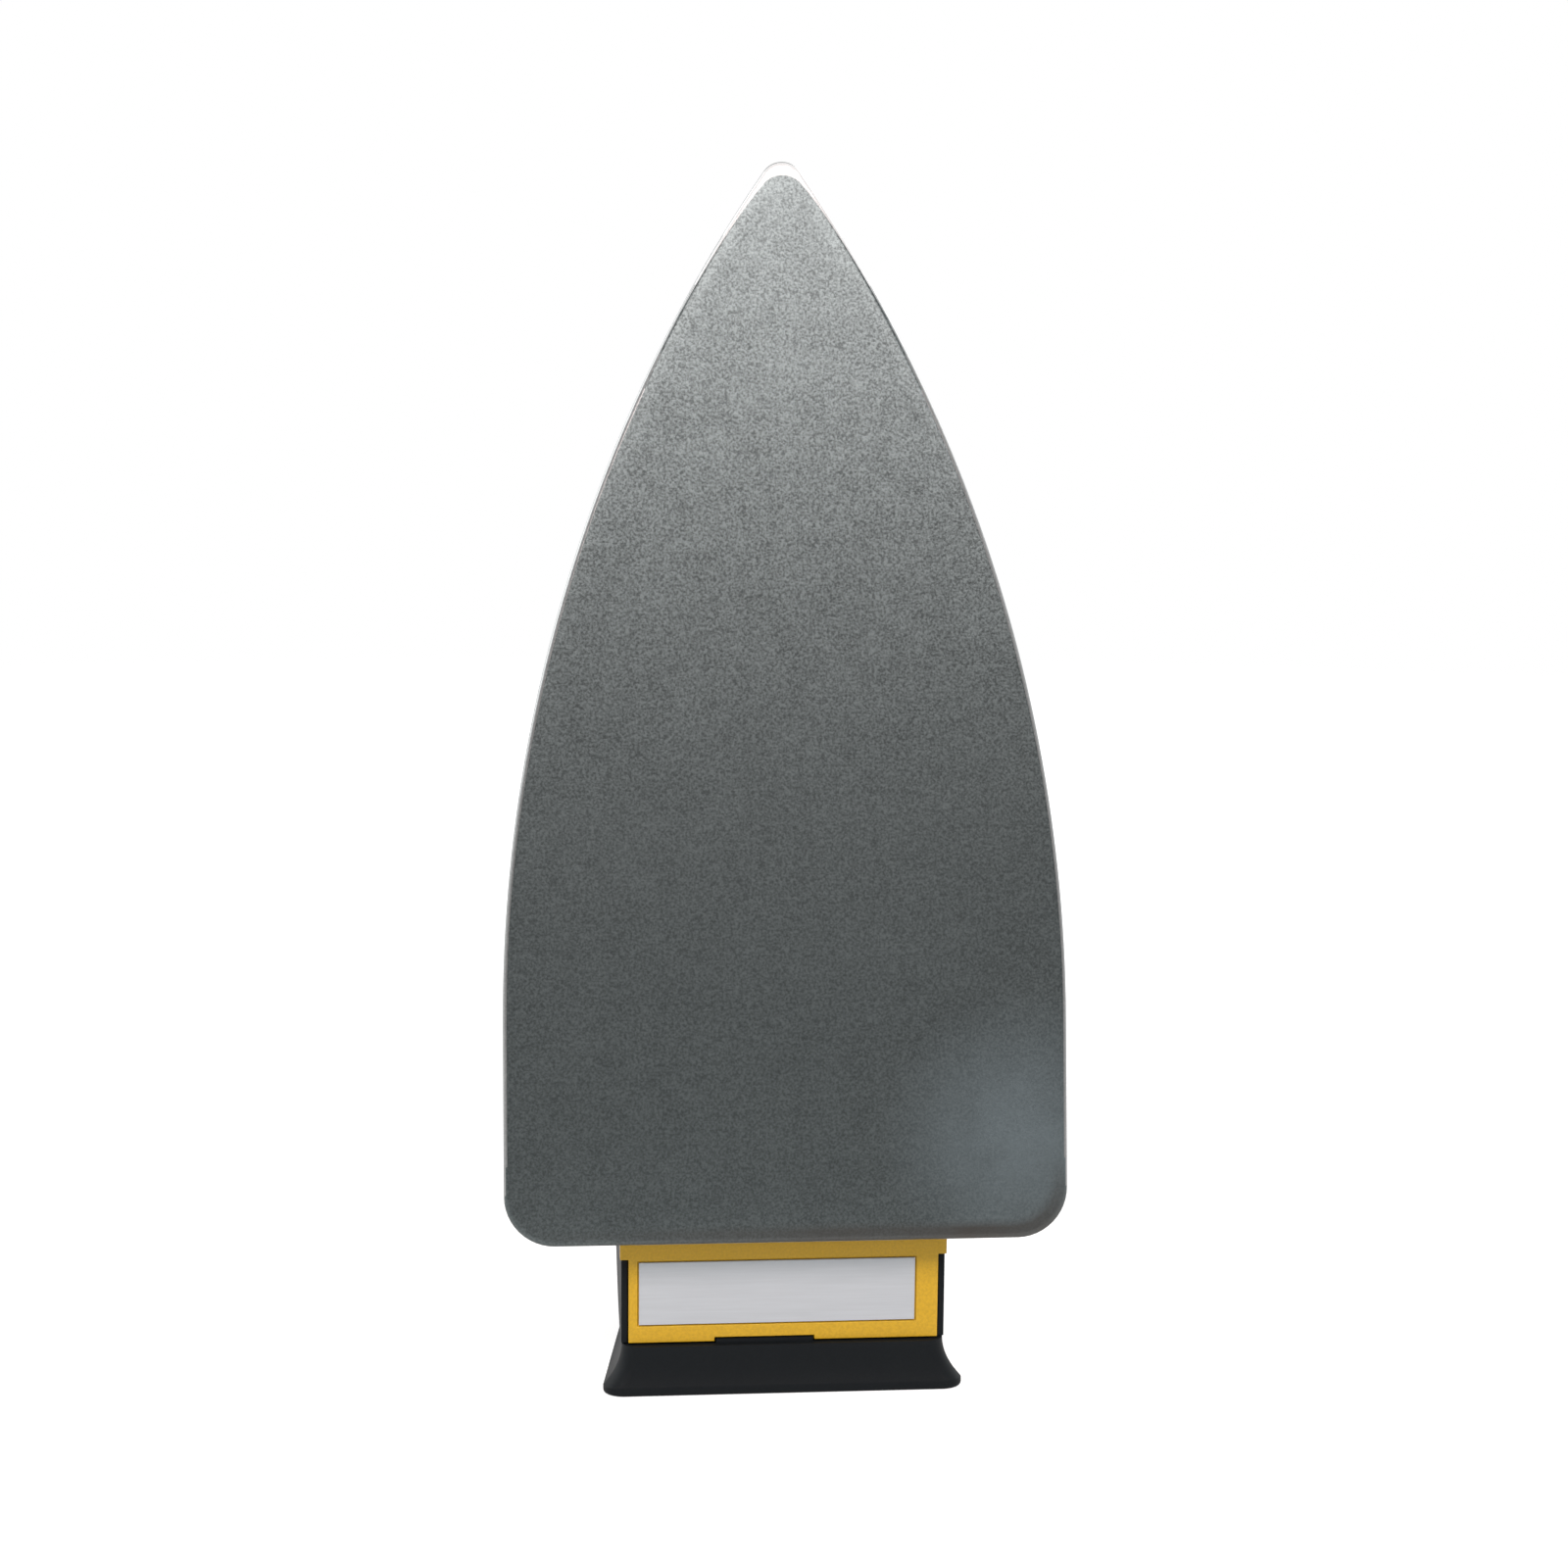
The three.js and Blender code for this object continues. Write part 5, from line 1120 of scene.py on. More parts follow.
def plan_of(context):
    """The forms that follow from the sizes in the panel as they are now."""
    return Plan(context.scene.iron_sizes)


def made_once(name, build):
    """The material of that name, built the first time it is asked for."""
    return bpy.data.materials.get(name) or build()


def black_plastic(context):
    """The black moulding of handle, heel, dial and bush, shared by them all."""
    name = "black_moulding"
    colour = tuple(context.scene.iron_finishes.black)
    return made_once(
        name, lambda: moulded(name, colour, roughness=0.5, grain=0.00035, depth=0.00002, gloss=0.1)
    )


class IRON_OT_inner_pieces(bpy.types.Operator):
    """Give the frame's own metal, ceramic, glass and sleeved pieces their finishes"""

    bl_idname = "iron.inner_pieces"
    bl_label = "Inner pieces"

    def execute(self, context):
        finishes = {
            "steel": metal("zinc_steel", colour=(0.52, 0.53, 0.54), roughness=0.34),
            "bimetal": metal("bimetal_strip", colour=(0.55, 0.46, 0.30), roughness=0.36),
            "contact_spring": metal("spring_bronze", colour=(0.62, 0.42, 0.18), roughness=0.3),
            "ceramic": moulded(
                "steatite", colour=(0.72, 0.69, 0.60), roughness=0.62, grain=0.0003, depth=0.00001
            ),
            "lamp_glass": clear("lamp_glass", colour=(0.9, 0.75, 0.62), roughness=0.02),
            "sleeve": woven("glass_fibre_sleeve", colour=(0.62, 0.58, 0.46)),
            "earth_sleeve": woven("earth_sleeve", colour=(0.30, 0.45, 0.05)),
        }
        slots = {row["node"]: row["material_slot"] for row in frame["record"]["subparts"]}
        for node, thing in frame["nodes"].items():
            if slots[node] in finishes:
                thing.data.materials.clear()
                thing.data.materials.append(finishes[slots[node]])
        return {"FINISHED"}


class IRON_OT_soleplate(bpy.types.Operator):
    """Make the sole casting with its coated face, its rounded edge and its bare back"""

    bl_idname = "iron.soleplate"
    bl_label = "Soleplate"

    def execute(self, context):
        plan = plan_of(context)
        thing = object_of("sole_casting", loft(self.rings(plan)), plan.standing)
        self.inner_face(plan, thing)
        soften(thing, 0)
        finishes = context.scene.iron_finishes
        coating = coated_sole(tuple(finishes.sole), plan.standing)
        finish_piece(thing, coating, BODY, "sole", "soleplate")
        thing.data.materials.append(bare_edge(tuple(finishes.casting)))
        self.bare_faces(plan, thing)
        return {"FINISHED"}

    def rings(self, plan):
        """From the sole face, which rolls off towards its rounded edge, up to the raised middle."""
        rings = []
        for t in evenly(1, 0, SOLE_ROLL_STEPS)[:-1]:
            y = SOLE_ROLL_DEPTH * (1 - t) ** 2
            roll = SOLE_ROLL_WIDTH * t
            rings.append(plan.inset_sole(y, SOLE_EDGE_ROUND + roll, SOLE_NOSE_ROUND + roll))
        for a in evenly(0, math.pi / 2, SOLE_ROUND_STEPS):
            inset = 1 - math.sin(a)
            y = SOLE_ROLL_DEPTH + (SOLE_EDGE_ROUND - SOLE_ROLL_DEPTH) * (1 - math.cos(a))
            rings.append(plan.inset_sole(y, SOLE_EDGE_ROUND * inset, SOLE_NOSE_ROUND * inset))
        rings.append(plan.inset_sole(SOLE_EDGE_HEIGHT - SEAT, 0, 0))
        rings.append(plan.inset_sole(SOLE_EDGE_HEIGHT, SEAT, SEAT))
        rings.append(plan.inset_sole(SOLE_EDGE_HEIGHT, PLATFORM_INSET, PLATFORM_NOSE_INSET))
        rings.append(plan.inset_sole(SOLE_PLATFORM, PLATFORM_INSET, PLATFORM_NOSE_INSET))
        return rings

    def bare_faces(self, plan, thing):
        """Leaves the faces above the coating bare, lower down along the sides than round the ends."""
        for face in thing.data.polygons:
            middle = plan.lying @ (face.center / MM)
            past_rear = smooth((middle.z - BARE_SIDES[0]) / BARE_SIDES_FADE[0])
            before_tip = 1 - smooth((middle.z - BARE_SIDES[1]) / BARE_SIDES_FADE[1])
            limit = lerp(COATED_HEIGHT, SIDE_COATED_HEIGHT, past_rear * before_tip)
            face.material_index = 0 if middle.y < limit else 1

    def inner_face(self, plan, thing):
        """The hidden side keeps the frame's own ribs, bosses, screw holes and element channel."""
        floor = plan.inset_sole(CAVITY_FLOOR, CAVITY_INSET, PLATFORM_NOSE_INSET)
        roof = plan.inset_sole(PAD_TOP + OVERRUN, CAVITY_INSET, PLATFORM_NOSE_INSET)
        cavities = object_of("tool", loft([floor, roof]), plan.standing)
        carve(cavities, object_of("tool", frame_solid("soleplate")))
        below = box(-REACH, REACH, -REACH, SOLE_PLATFORM - SEAT, -REACH, REACH)
        humps = object_of("tool", frame_solid("soleplate"))
        carve(humps, object_of("tool", below, plan.standing))
        join(carve(thing, cavities), humps)


class IRON_OT_cover(bpy.types.Operator):
    """Make the enamelled cover over the sole"""

    bl_idname = "iron.cover"
    bl_label = "Cover"

    def execute(self, context):
        plan = plan_of(context)

        def solid(mesh):
            return object_of("tool", mesh, plan.standing)

        top, under = plan.cover_top + OVERRUN, plan.cover_top - 2 * COVER_WALL
        thing = object_of("cover_shell", loft(plan.cover_form(0)), plan.standing)
        carve(thing, solid(loft(plan.cover_form(COVER_WALL, OVERRUN))))
        holes = [solid(rod(SHAFT_RADIUS + 2 * OVERRUN, under, top, 0, DIAL_CENTRE))]
        holes.append(solid(rod(LAMP_BORE, under, top, 0, plan.lamp_bore_z)))
        for x, z in HANDLE_SCREWS:
            holes.append(solid(rod(SCREW_RADIUS + SEAT, plan.cover_top / 2, top, x, z)))
        wide, low = WIRE_OPENING_HALF_WIDTH, plan.cover_top / 2 + SOLE_EDGE_HEIGHT
        holes.append(solid(box(-wide, wide, low, top, -OVERRUN, WIRE_OPENING_FRONT)))
        slot = BRACKET_HALF_WIDTH + SEAT
        slot_end = COVER_INSET + COVER_REAR_DRAW + COVER_WALL
        slot_top = BRACKET_TONGUE + BRACKET_THICKNESS + SEAT
        holes.append(solid(box(-slot, slot, BRACKET_TONGUE - SEAT, slot_top, -OVERRUN, slot_end)))
        carve(thing, *holes)
        soften(thing, 0, COVER_SHARP_ANGLE)
        colour = tuple(context.scene.iron_finishes.paint)
        finish_piece(thing, enamel(colour), BODY, "yellow_paint", "cover")
        return {"FINISHED"}


class IRON_OT_handle(bpy.types.Operator):
    """Make the handle: grip, front post and hollow rear housing in one moulding"""

    bl_idname = "iron.handle"
    bl_label = "Handle"

    def execute(self, context):
        plan = plan_of(context)
        panel = plan.standing @ plan.on_panel
        lens = plan.standing @ plan.lens_place
        gland = plan.standing @ plan.gland_place

        def solid(mesh, matrix=plan.standing):
            return object_of("tool", mesh, matrix)

        def below(height):
            return solid(box(-REACH, REACH, -REACH, REACH, -REACH, height), None)

        def room(wall, floor):
            return carve(solid(loft(plan.room_form(wall))), below(plan.heel_height + floor))

        def outer():
            return solid(loft(plan.handle_form()))

        thing = outer()
        thing.name = thing.data.name = "handle_moulding"
        under = plan.cover_top - 4 * COVER_WALL
        wide = PANEL_HALF_WIDTH + SEAT
        back = -PANEL_THICKNESS - SEAT
        carve(
            thing,
            solid(box(-REACH, REACH, -REACH, under, COVER_INSET, REACH)),
            solid(loft(plan.cover_form(-SEAT))),
            below(plan.heel_height),
            solid(box(-REACH, REACH, -PANEL_PROUD, REACH, -REACH, REACH), panel),
            solid(box(-REACH, REACH, back, REACH, -REACH, FLANGE_HEIGHT + SEAT), panel),
            solid(box(-wide, wide, back, REACH, 0, REACH), panel),
            room(HOUSING_WALL, HOUSING_END_WALL),
        )
        shelf_top = SHELF_UNDER + SHELF_THICKNESS
        shelf = solid(box(-REACH, REACH, SHELF_UNDER, shelf_top, -plan.clearance, SHELF_FRONT))
        join(thing, common(shelf, room(HOUSING_WALL / 2, HOUSING_END_WALL / 2)))
        low, high = plan.cover_top + SEAT, plan.cover_top + HANDLE_SCREW_LENGTH
        for x, z in HANDLE_SCREWS[:2]:
            post = solid(rod(POST_RADIUS, low, high, x, z))
            rib = box(x - HOUSING_WALL, x + HOUSING_WALL, low, high, z, WIRE_OPENING_FRONT + POST_RADIUS)
            join(thing, common(join(post, solid(rib)), outer()))
        low = BRACKET_TONGUE + BRACKET_THICKNESS + SEAT
        for x, z in HOUSING_SCREWS:
            boss = solid(rod(POST_RADIUS, low, shelf_top, x, z))
            join(thing, carve(boss, solid(loft(plan.cover_form(-SEAT)))))
        collar = solid(rod(GLAND_RADIUS + HOUSING_WALL, -GLAND_LENGTH, SEAT), gland)
        join(thing, common(collar, outer()))

        bore = SCREW_RADIUS + SEAT
        bores = [solid(rod(bore, 0, high - SCREW_RADIUS, x, z)) for x, z in HANDLE_SCREWS]
        bracket_top = BRACKET_TONGUE + HOUSING_SCREW_LENGTH + SCREW_RADIUS
        bores += [solid(rod(bore, 0, bracket_top, x, z)) for x, z in HOUSING_SCREWS]
        floor_top = plan.heel_height + HOUSING_END_WALL + OVERRUN
        for x in (-HEEL_SCREW_X, HEEL_SCREW_X):
            bores.append(solid(upright(rod(bore, 0, floor_top), x, HEEL_SCREW_Y), None))
        bores.append(solid(rod(LENS_RADIUS + SEAT, -LENS_LENGTH, LENS_PROUD + OVERRUN), lens))
        bores.append(solid(rod(LAMP_BORE, 0, LENS_HEIGHT, 0, plan.lamp_bore_z)))
        bores.append(solid(rod(GLAND_RADIUS + SEAT, -2 * GLAND_LENGTH, OVERRUN), gland))
        bores.append(solid(rod(GLAND_FLANGE + SEAT, 0, 2 * GLAND_LENGTH), gland))
        carve(thing, *bores)
        soften(thing, 0, HANDLE_SHARP_ANGLE)
        finish_piece(thing, black_plastic(context), BODY, "black_plastic", "handle")
        return {"FINISHED"}


class IRON_OT_heel_rest(bpy.types.Operator):
    """Make the flared heel rest with its lip and its tongue"""

    bl_idname = "iron.heel_rest"
    bl_label = "Heel rest"

    def execute(self, context):
        plan = plan_of(context)
        rings = []
        for a in evenly(0, math.pi / 2, HEEL_LIP_STEPS):
            z, inset = HEEL_LIP_ROUND * (1 - math.cos(a)), HEEL_LIP_ROUND * (1 - math.sin(a))
            rings.append(plan.heel_ring(z, inset))
        top = plan.heel_height - SEAT
        rings += [plan.heel_ring(z) for z in evenly(HEEL_LIP, top, HEEL_FLARE_STEPS)]
        thing = object_of("heel_foot", loft(rings))
        heights = evenly(HEEL_WALL, plan.heel_height, HEEL_HOLLOW_STEPS)
        hollow = [plan.heel_ring(z, HEEL_WALL) for z in heights]
        rear = box(-REACH, REACH, -REACH, HEEL_HOLLOW_FAR, 0, REACH)
        carve(thing, common(object_of("tool", loft(hollow)), object_of("tool", rear)))
        near = -plan.rest_depth / 2 + HEEL_TOP_NEAR + TONGUE_SETBACK
        tongue = box(
            TONGUE_OFFSET - TONGUE_WIDTH / 2,
            TONGUE_OFFSET + TONGUE_WIDTH / 2,
            near,
            near + PANEL_THICKNESS,
            plan.heel_height - HEEL_WALL,
            plan.heel_height + TONGUE_HEIGHT,
        )
        join(thing, object_of("tool", tongue))
        foot = plan.heel_height - HEEL_SCREW_LENGTH + HOUSING_END_WALL
        for x in (-HEEL_SCREW_X, HEEL_SCREW_X):
            join(thing, object_of("tool", upright(rod(POST_RADIUS, HEEL_LIP, top), x, HEEL_SCREW_Y)))
            bore = rod(SCREW_RADIUS + SEAT, foot, top + OVERRUN)
            carve(thing, object_of("tool", upright(bore, x, HEEL_SCREW_Y)))
        soften(thing, HEEL_EDGE)
        finish_piece(thing, black_plastic(context), BODY, "black_plastic", "heel_rest")
        return {"FINISHED"}


class IRON_OT_rear_cover(bpy.types.Operator):
    """Make the yellow T-shaped rear cover"""

    bl_idname = "iron.rear_cover"
    bl_label = "Rear cover"

    def execute(self, context):
        plan = plan_of(context)
        notch_left = TONGUE_OFFSET - TONGUE_WIDTH / 2 - SEAT
        notch_right = TONGUE_OFFSET + TONGUE_WIDTH / 2 + SEAT
        outline = [
            (-FLANGE_HALF_WIDTH, 0),
            (FLANGE_HALF_WIDTH, 0),
            (FLANGE_HALF_WIDTH, FLANGE_HEIGHT),
            (PANEL_HALF_WIDTH, FLANGE_HEIGHT),
            (PANEL_HALF_WIDTH, PANEL_LENGTH),
            (notch_right, PANEL_LENGTH),
            (notch_right, PANEL_LENGTH - NOTCH_DEPTH),
            (notch_left, PANEL_LENGTH - NOTCH_DEPTH),
            (notch_left, PANEL_LENGTH),
            (-PANEL_HALF_WIDTH, PANEL_LENGTH),
            (-PANEL_HALF_WIDTH, FLANGE_HEIGHT),
            (-FLANGE_HALF_WIDTH, FLANGE_HEIGHT),
        ]
        panel = plan.standing @ plan.on_panel
        thing = object_of("rear_panel", extruded(outline, -PANEL_THICKNESS, 0), panel)
        left, right = LABEL_OFFSET - LABEL_WIDTH / 2 - SEAT, LABEL_OFFSET + LABEL_WIDTH / 2 + SEAT
        low, high = LABEL_DROP - SEAT, LABEL_DROP + LABEL_HEIGHT + SEAT
        recess = box(left, right, -LABEL_RECESS, OVERRUN, low, high)
        low, high = FLANGE_HEIGHT, FLANGE_HEIGHT + CLIP_THICKNESS
        for x in (-CLIP_SPREAD, CLIP_SPREAD):
            near, far = x - CLIP_WIDTH / 2, x + CLIP_WIDTH / 2
            clip = box(near, far, -PANEL_THICKNESS - CLIP_DEPTH, -PANEL_THICKNESS + OVERRUN, low, high)
            join(thing, object_of("tool", clip, panel))
        carve(thing, object_of("tool", recess, panel))
        soften(thing, MOULDED_EDGE)
        colour = tuple(context.scene.iron_finishes.rear_plastic)
        material = moulded("yellow_moulding", colour, roughness=0.38, grain=0.0005, depth=0.00001)
        finish_piece(thing, material, BODY, "yellow_plastic", "rear_cover")
        return {"FINISHED"}


class IRON_OT_rating_plate(bpy.types.Operator):
    """Make the bare rating plate in its recess"""

    bl_idname = "iron.rating_plate"
    bl_label = "Rating plate"

    def execute(self, context):
        plan = plan_of(context)
        left, right = LABEL_OFFSET - LABEL_WIDTH / 2, LABEL_OFFSET + LABEL_WIDTH / 2
        low, high = LABEL_DROP, LABEL_DROP + LABEL_HEIGHT
        plate = box(left, right, -LABEL_RECESS + LABEL_SEAT, 0, low, high)
        thing = object_of("foil_plate", plate, plan.standing @ plan.on_panel)
        soften(thing, LABEL_EDGE)
        colour = tuple(context.scene.iron_finishes.label)
        finish_piece(thing, foil(colour), BODY, "label", "rating_plate")
        return {"FINISHED"}


class IRON_OT_dial(bpy.types.Operator):
    """Make the fluted heat dial, the scale ring round it and their marks"""

    bl_idname = "iron.dial"
    bl_label = "Dial"

    def execute(self, context):
        plan = plan_of(context)
        base = plan.cover_top + DIAL_LIFT
        place = plan.standing @ Matrix.Translation((0, 0, DIAL_CENTRE))
        thing = object_of("dial_knob", self.knob(plan, base), place)
        cap = base + DIAL_HEIGHT - DIAL_CAP
        outer, inner = DIAL_DRUM_RADIUS - FLUTE_DEPTH - DIAL_SKIN, DIAL_HUB_RADIUS
        low = base - OVERRUN
        hollow = turned([(inner, low), (outer, low), (outer, cap), (inner, cap)], close=True)
        carve(thing, object_of("tool", hollow, place))
        carve(thing, object_of("tool", rod(SHAFT_RADIUS + SEAT, low, cap), place))
        soften(thing, 0, DIAL_SHARP_ANGLE)
        finish_piece(thing, black_plastic(context), DIAL_BODY, "black_plastic", "dial")

        inner = plan.dial_radius + BEZEL_GAP
        low, high = plan.cover_top + SEAT, plan.cover_top + SEAT + BEZEL_HEIGHT
        section = [(inner, low), (BEZEL_OUTER, low), (BEZEL_OUTER, high), (inner, high)]
        band = object_of("dial_ring", turned(section, BEZEL_STEPS, close=True), place)
        soften(band, BEZEL_EDGE)
        finish_piece(band, black_plastic(context), BODY, "black_plastic", "scale_ring")

        ink_of_marks = ink(tuple(context.scene.iron_finishes.marks))
        scale = object_of("scale_marks", self.marks((inner + BEZEL_OUTER) / 2, high), place)
        finish_piece(scale, ink_of_marks, BODY, "label")
        pointer = object_of("dial_pointer", self.pointer(plan, base), place)
        finish_piece(pointer, ink_of_marks, DIAL_BODY, "label")
        return {"FINISHED"}

    def knob(self, plan, base):
        """A skirt with a rounded edge, then a drum whose flutes fade out at its foot and its rim."""
        top = base + DIAL_HEIGHT
        skirt = base + DIAL_FLANGE
        fillet = 2 * DIAL_EDGE
        foot = DIAL_DRUM_RADIUS + fillet
        rows = [(plan.dial_radius, base, 0.0), (plan.dial_radius, skirt - DIAL_EDGE, 0.0)]
        for a in evenly(0, math.pi / 2, SKIRT_STEPS)[1:]:
            radius = plan.dial_radius - DIAL_EDGE * (1 - math.cos(a))
            rows.append((radius, skirt - DIAL_EDGE * (1 - math.sin(a)), 0.0))
        rows.append((foot, skirt + DIAL_EDGE, 0.0))
        for a in evenly(0, math.pi / 2, FILLET_STEPS)[1:]:
            y = skirt + DIAL_EDGE + fillet * (1 - math.cos(a))
            rows.append((foot - fillet * math.sin(a), y, math.sin(a)))
        rows.append((DIAL_DRUM_RADIUS, top - 3 * DIAL_EDGE, 1.0))
        for a in evenly(0, math.pi / 2, RIM_STEPS)[1:]:
            radius = DIAL_DRUM_RADIUS - fillet * (1 - math.cos(a))
            rows.append((radius, top - fillet * (1 - math.sin(a)), math.cos(a)))
        rows.append((DIAL_DRUM_RADIUS - 4 * DIAL_EDGE, top, 0.0))
        rows.append((DIAL_DRUM_RADIUS - 5 * DIAL_EDGE, top - DIAL_DISH, 0.0))
        return loft([self.fluted_ring(radius, y, share) for radius, y, share in rows])

    def fluted_ring(self, radius, y, share):
        """A ring of the knob, with its flutes cut to a share of their depth."""
        count = DIAL_FLUTES * FLUTE_STEPS
        ring = []
        for i in range(count):
            a = 2 * math.pi * i / count
            r = radius - share * FLUTE_DEPTH / 2 * (1 + math.cos(DIAL_FLUTES * a))
            ring.append(Vector((r * math.cos(a), y, r * math.sin(a))))
        return ring

    def marks(self, radius, y):
        """Heat marks on the scale ring: one, two and three dots."""
        dots = bmesh.new()
        for group in range(MARK_GROUPS):
            middle = MARK_START + MARK_STEP * group
            for dot in range(group + 1):
                a = middle + MARK_PITCH * (dot - group / 2)
                x, z = radius * math.cos(a), radius * math.sin(a)
                add_mesh(dots, rod(MARK_SIZE / 2, y, y + MARK_PROUD, x, z, DOT_STEPS))
        return dots

    def pointer(self, plan, base):
        """A bar across the skirt that points at the scale."""
        inner, outer = DIAL_DRUM_RADIUS + 3 * DIAL_EDGE, plan.dial_radius - DIAL_EDGE
        skirt = base + DIAL_FLANGE
        return box(-MARK_SIZE / 2, MARK_SIZE / 2, skirt - MARK_PROUD, skirt + MARK_PROUD, inner, outer)


class IRON_OT_pilot_lens(bpy.types.Operator):
    """Make the pilot lamp's domed lens"""

    bl_idname = "iron.pilot_lens"
    bl_label = "Pilot lens"

    def execute(self, context):
        plan = plan_of(context)
        turns = evenly(0, math.pi / 2, DOME_STEPS)
        dome = [(LENS_RADIUS * math.sin(a), LENS_PROUD * math.cos(a)) for a in turns]
        hollow = LENS_RADIUS - LENS_WALL
        foot = SEAT - LENS_LENGTH
        inside = [(hollow, 0), (0, LENS_PROUD - LENS_WALL)]
        profile = dome + [(LENS_RADIUS, foot), (hollow, foot)] + inside
        thing = object_of("lamp_lens", turned(profile, ROUND_STEPS), plan.standing @ plan.lens_place)
        soften(thing, 0)
        colour = tuple(context.scene.iron_finishes.lens)
        finish_piece(thing, clear("red_lens", colour, roughness=0.08), BODY, "lens", "pilot_lens")
        return {"FINISHED"}


class IRON_OT_cord_bush(bpy.types.Operator):
    """Make the bush that the cord would enter by"""

    bl_idname = "iron.cord_bush"
    bl_label = "Cord bush"

    def execute(self, context):
        plan = plan_of(context)
        profile = [
            (GLAND_BORE, -GLAND_LENGTH),
            (GLAND_RADIUS, -GLAND_LENGTH),
            (GLAND_RADIUS, SEAT),
            (GLAND_FLANGE, SEAT),
            (GLAND_FLANGE, GLAND_FLANGE_HEIGHT),
            (GLAND_RADIUS, GLAND_FLANGE_HEIGHT + SEAT),
            (GLAND_BORE, GLAND_FLANGE_HEIGHT + SEAT),
        ]
        bush = turned(profile, BUSH_STEPS, close=True)
        thing = object_of("inlet_bush", bush, plan.standing @ plan.gland_place)
        soften(thing, MOULDED_EDGE)
        finish_piece(thing, black_plastic(context), BODY, "black_plastic", "cord_bush")
        return {"FINISHED"}


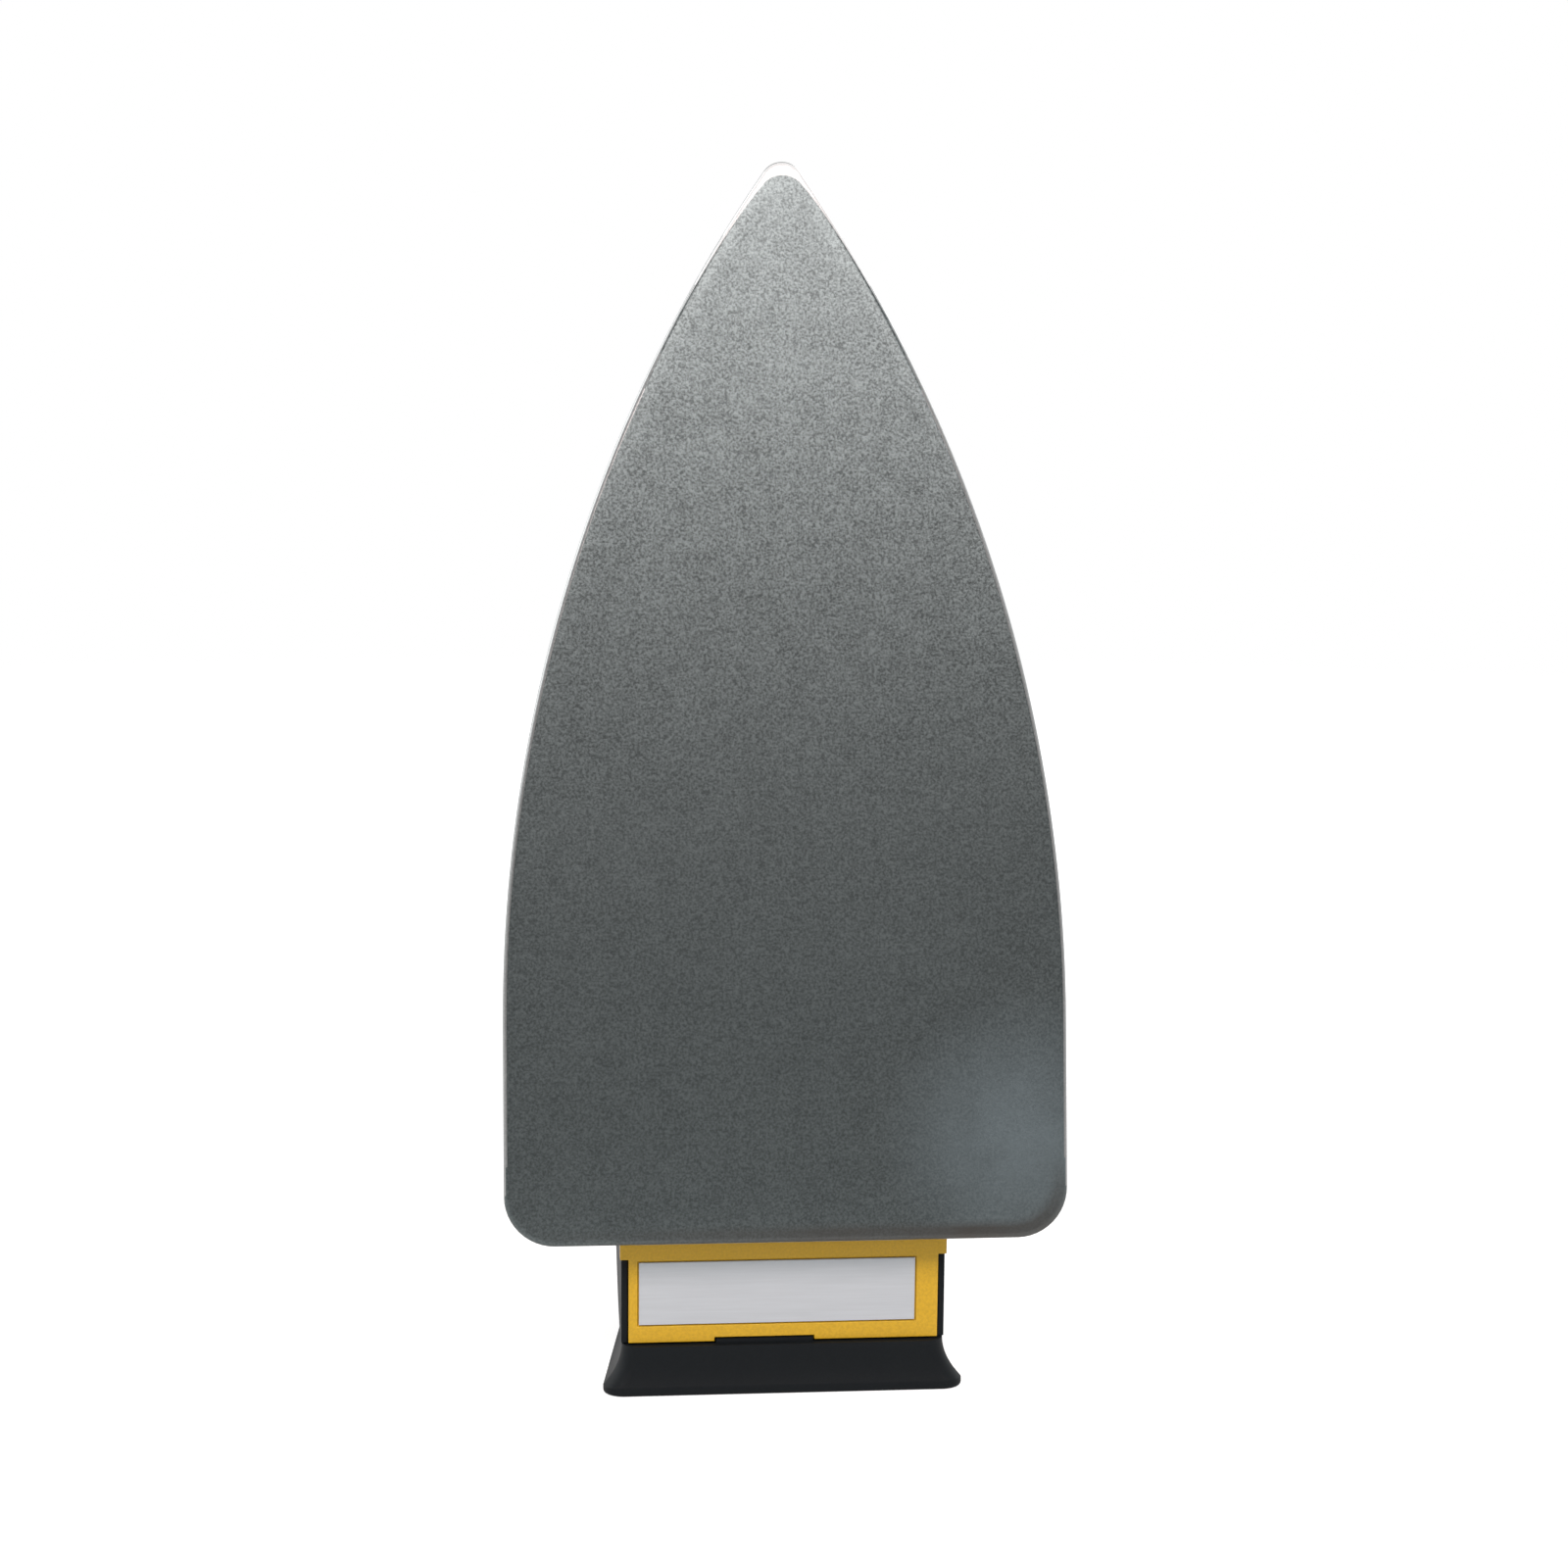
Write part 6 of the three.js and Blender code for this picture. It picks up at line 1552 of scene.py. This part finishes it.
class IRON_OT_stage(bpy.types.Operator):
    """Make the floor, the lamps, the surroundings and the camera"""

    bl_idname = "iron.stage"
    bl_label = "Stage"

    def execute(self, context):
        self.floor()
        self.surroundings(context)
        self.lamps(context)
        self.camera(context)
        context.scene.view_settings.view_transform = "Standard"
        return {"FINISHED"}

    def floor(self):
        """A pale round floor that fades out at its rim, so that no horizon shows."""
        mesh = bmesh.new()
        bmesh.ops.create_circle(mesh, cap_ends=True, segments=FLOOR_STEPS, radius=FLOOR_RADIUS)
        data = bpy.data.meshes.new("floor")
        mesh.to_mesh(data)
        mesh.free()
        floor = bpy.data.objects.new("floor", data)
        bpy.context.scene.collection.objects.link(floor)
        m = Nodes("floor_white")
        m.set(Roughness=1.0, Specular_IOR_Level=0.0)
        m.set(Base_Color=(*FLOOR_COLOUR, 1), Emission_Color=WHITE)
        gloss = m.glossy_sight(m.place, *FLOOR_TURN)
        glow = m.sum_of(m.path("Is Camera Ray"), m.path("Is Transmission Ray"), gloss)
        m.link(m.times(glow, FLOOR_GLOW), m.shader.inputs["Emission Strength"])
        fade = m.spread(m.distance(), 1, 0, FLOOR_FADE, FLOOR_RADIUS)
        m.link(fade, m.shader.inputs["Alpha"])
        data.materials.append(m.material)

    def surroundings(self, context):
        """Plain light for the surfaces. Eye and gloss see white behind the iron, grey before it."""
        world = bpy.data.worlds.new("studio")
        context.scene.world = world
        world.use_nodes = True
        m = Nodes.of_world(world)
        course = m.add("ShaderNodeTexCoord").outputs["Generated"]
        gloss = m.glossy_sight(course, *WORLD_TURN)
        seen = m.sum_of(m.path("Is Camera Ray"), m.path("Is Transmission Ray"), gloss)
        lit = m.times(m.path("Is Diffuse Ray"), WORLD_LIGHT)
        background = m.add("ShaderNodeBackground")
        background.inputs["Color"].default_value = WHITE
        m.link(m.sum_of(seen, lit), background.inputs["Strength"])
        output = m.add("ShaderNodeOutputWorld")
        m.link(background.outputs[0], output.inputs["Surface"])

    def lamps(self, context):
        """Soft boxes. The key hangs high before the sole and looks at its upper part."""
        plan = plan_of(context)
        upper_sole = plan.standing @ Vector((0, 0, KEY_AIM)) * MM
        key = plan.standing @ Vector(KEY_PLACE) * MM
        middle = Vector((0, 0, plan.sole_length / 2)) * MM
        lamps = (
            ("key", key, upper_sole, KEY_SIZE, KEY_POWER),
            ("fill", Vector(FILL_PLACE), middle, FILL_SIZE, FILL_POWER),
            ("back", Vector(BACK_PLACE), middle, BACK_SIZE, BACK_POWER),
        )
        for name, place, aim, size, power in lamps:
            data = bpy.data.lights.new(name, "AREA")
            data.shape = "RECTANGLE"
            data.size, data.size_y = size
            data.energy = power
            if name == "key":
                data.spread = KEY_SPREAD
                data.color = KEY_COLOUR
            lamp = bpy.data.objects.new(name, data)
            context.scene.collection.objects.link(lamp)
            lamp.location = place
            lamp.rotation_euler = (aim - place).to_track_quat("-Z", "Y").to_euler()
            lamp.visible_camera = False

    def camera(self, context):
        """A camera that looks square at the sole, but for a small yaw and roll."""
        view = context.scene.iron_view
        plan = plan_of(context)
        turn = plan.standing.to_3x3()
        across = Vector((math.cos(view.yaw), -math.sin(view.yaw), 0))
        ahead = Vector((math.sin(view.yaw), math.cos(view.yaw), 0))
        down = Vector((0, 0, -1))
        right = across * math.cos(view.roll) + down * math.sin(view.roll)
        fall = down * math.cos(view.roll) - across * math.sin(view.roll)
        aim = Vector((view.aim_x, 0, view.aim_z)) / MM
        place = plan.standing @ (aim - ahead * view.distance / MM) * MM
        data = bpy.data.cameras.new("camera")
        data.sensor_width = SENSOR_WIDTH
        data.lens = view.lens
        data.clip_start = NEAR_CLIP
        camera = bpy.data.objects.new("camera", data)
        context.scene.collection.objects.link(camera)
        columns = [turn @ right, turn @ -fall, turn @ -ahead]
        camera.matrix_world = Matrix.Translation(place) @ Matrix(columns).transposed().to_4x4()
        context.scene.camera = camera


STEPS = (
    IRON_OT_stage,
    IRON_OT_inner_pieces,
    IRON_OT_soleplate,
    IRON_OT_cover,
    IRON_OT_handle,
    IRON_OT_heel_rest,
    IRON_OT_rear_cover,
    IRON_OT_rating_plate,
    IRON_OT_dial,
    IRON_OT_pilot_lens,
    IRON_OT_cord_bush,
)
GROUPS = {"iron_sizes": IronSizes, "iron_finishes": IronFinishes, "iron_view": IronView}


class IRON_PT_pieces(bpy.types.Panel):
    """Lists the iron's sizes, finishes, view and pieces"""

    bl_idname = "IRON_PT_pieces"
    bl_label = "Dry iron"
    bl_space_type = "VIEW_3D"
    bl_region_type = "UI"
    bl_category = "Iron"

    def draw(self, context):
        for name, kind in GROUPS.items():
            for key in kind.__annotations__:
                self.layout.prop(getattr(context.scene, name), key)
        for step in STEPS:
            self.layout.operator(step.bl_idname)


CLASSES = (*GROUPS.values(), *STEPS, IRON_PT_pieces)


def register():
    for kind in CLASSES:
        bpy.utils.register_class(kind)
    for name, kind in GROUPS.items():
        setattr(bpy.types.Scene, name, bpy.props.PointerProperty(type=kind))


def unregister():
    for name in GROUPS:
        delattr(bpy.types.Scene, name)
    for kind in reversed(CLASSES):
        bpy.utils.unregister_class(kind)


def main():
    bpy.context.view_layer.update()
    register()
    for step in STEPS:
        getattr(bpy.ops.iron, step.bl_idname.split(".")[1])()


if __name__ == "__main__":
    main()
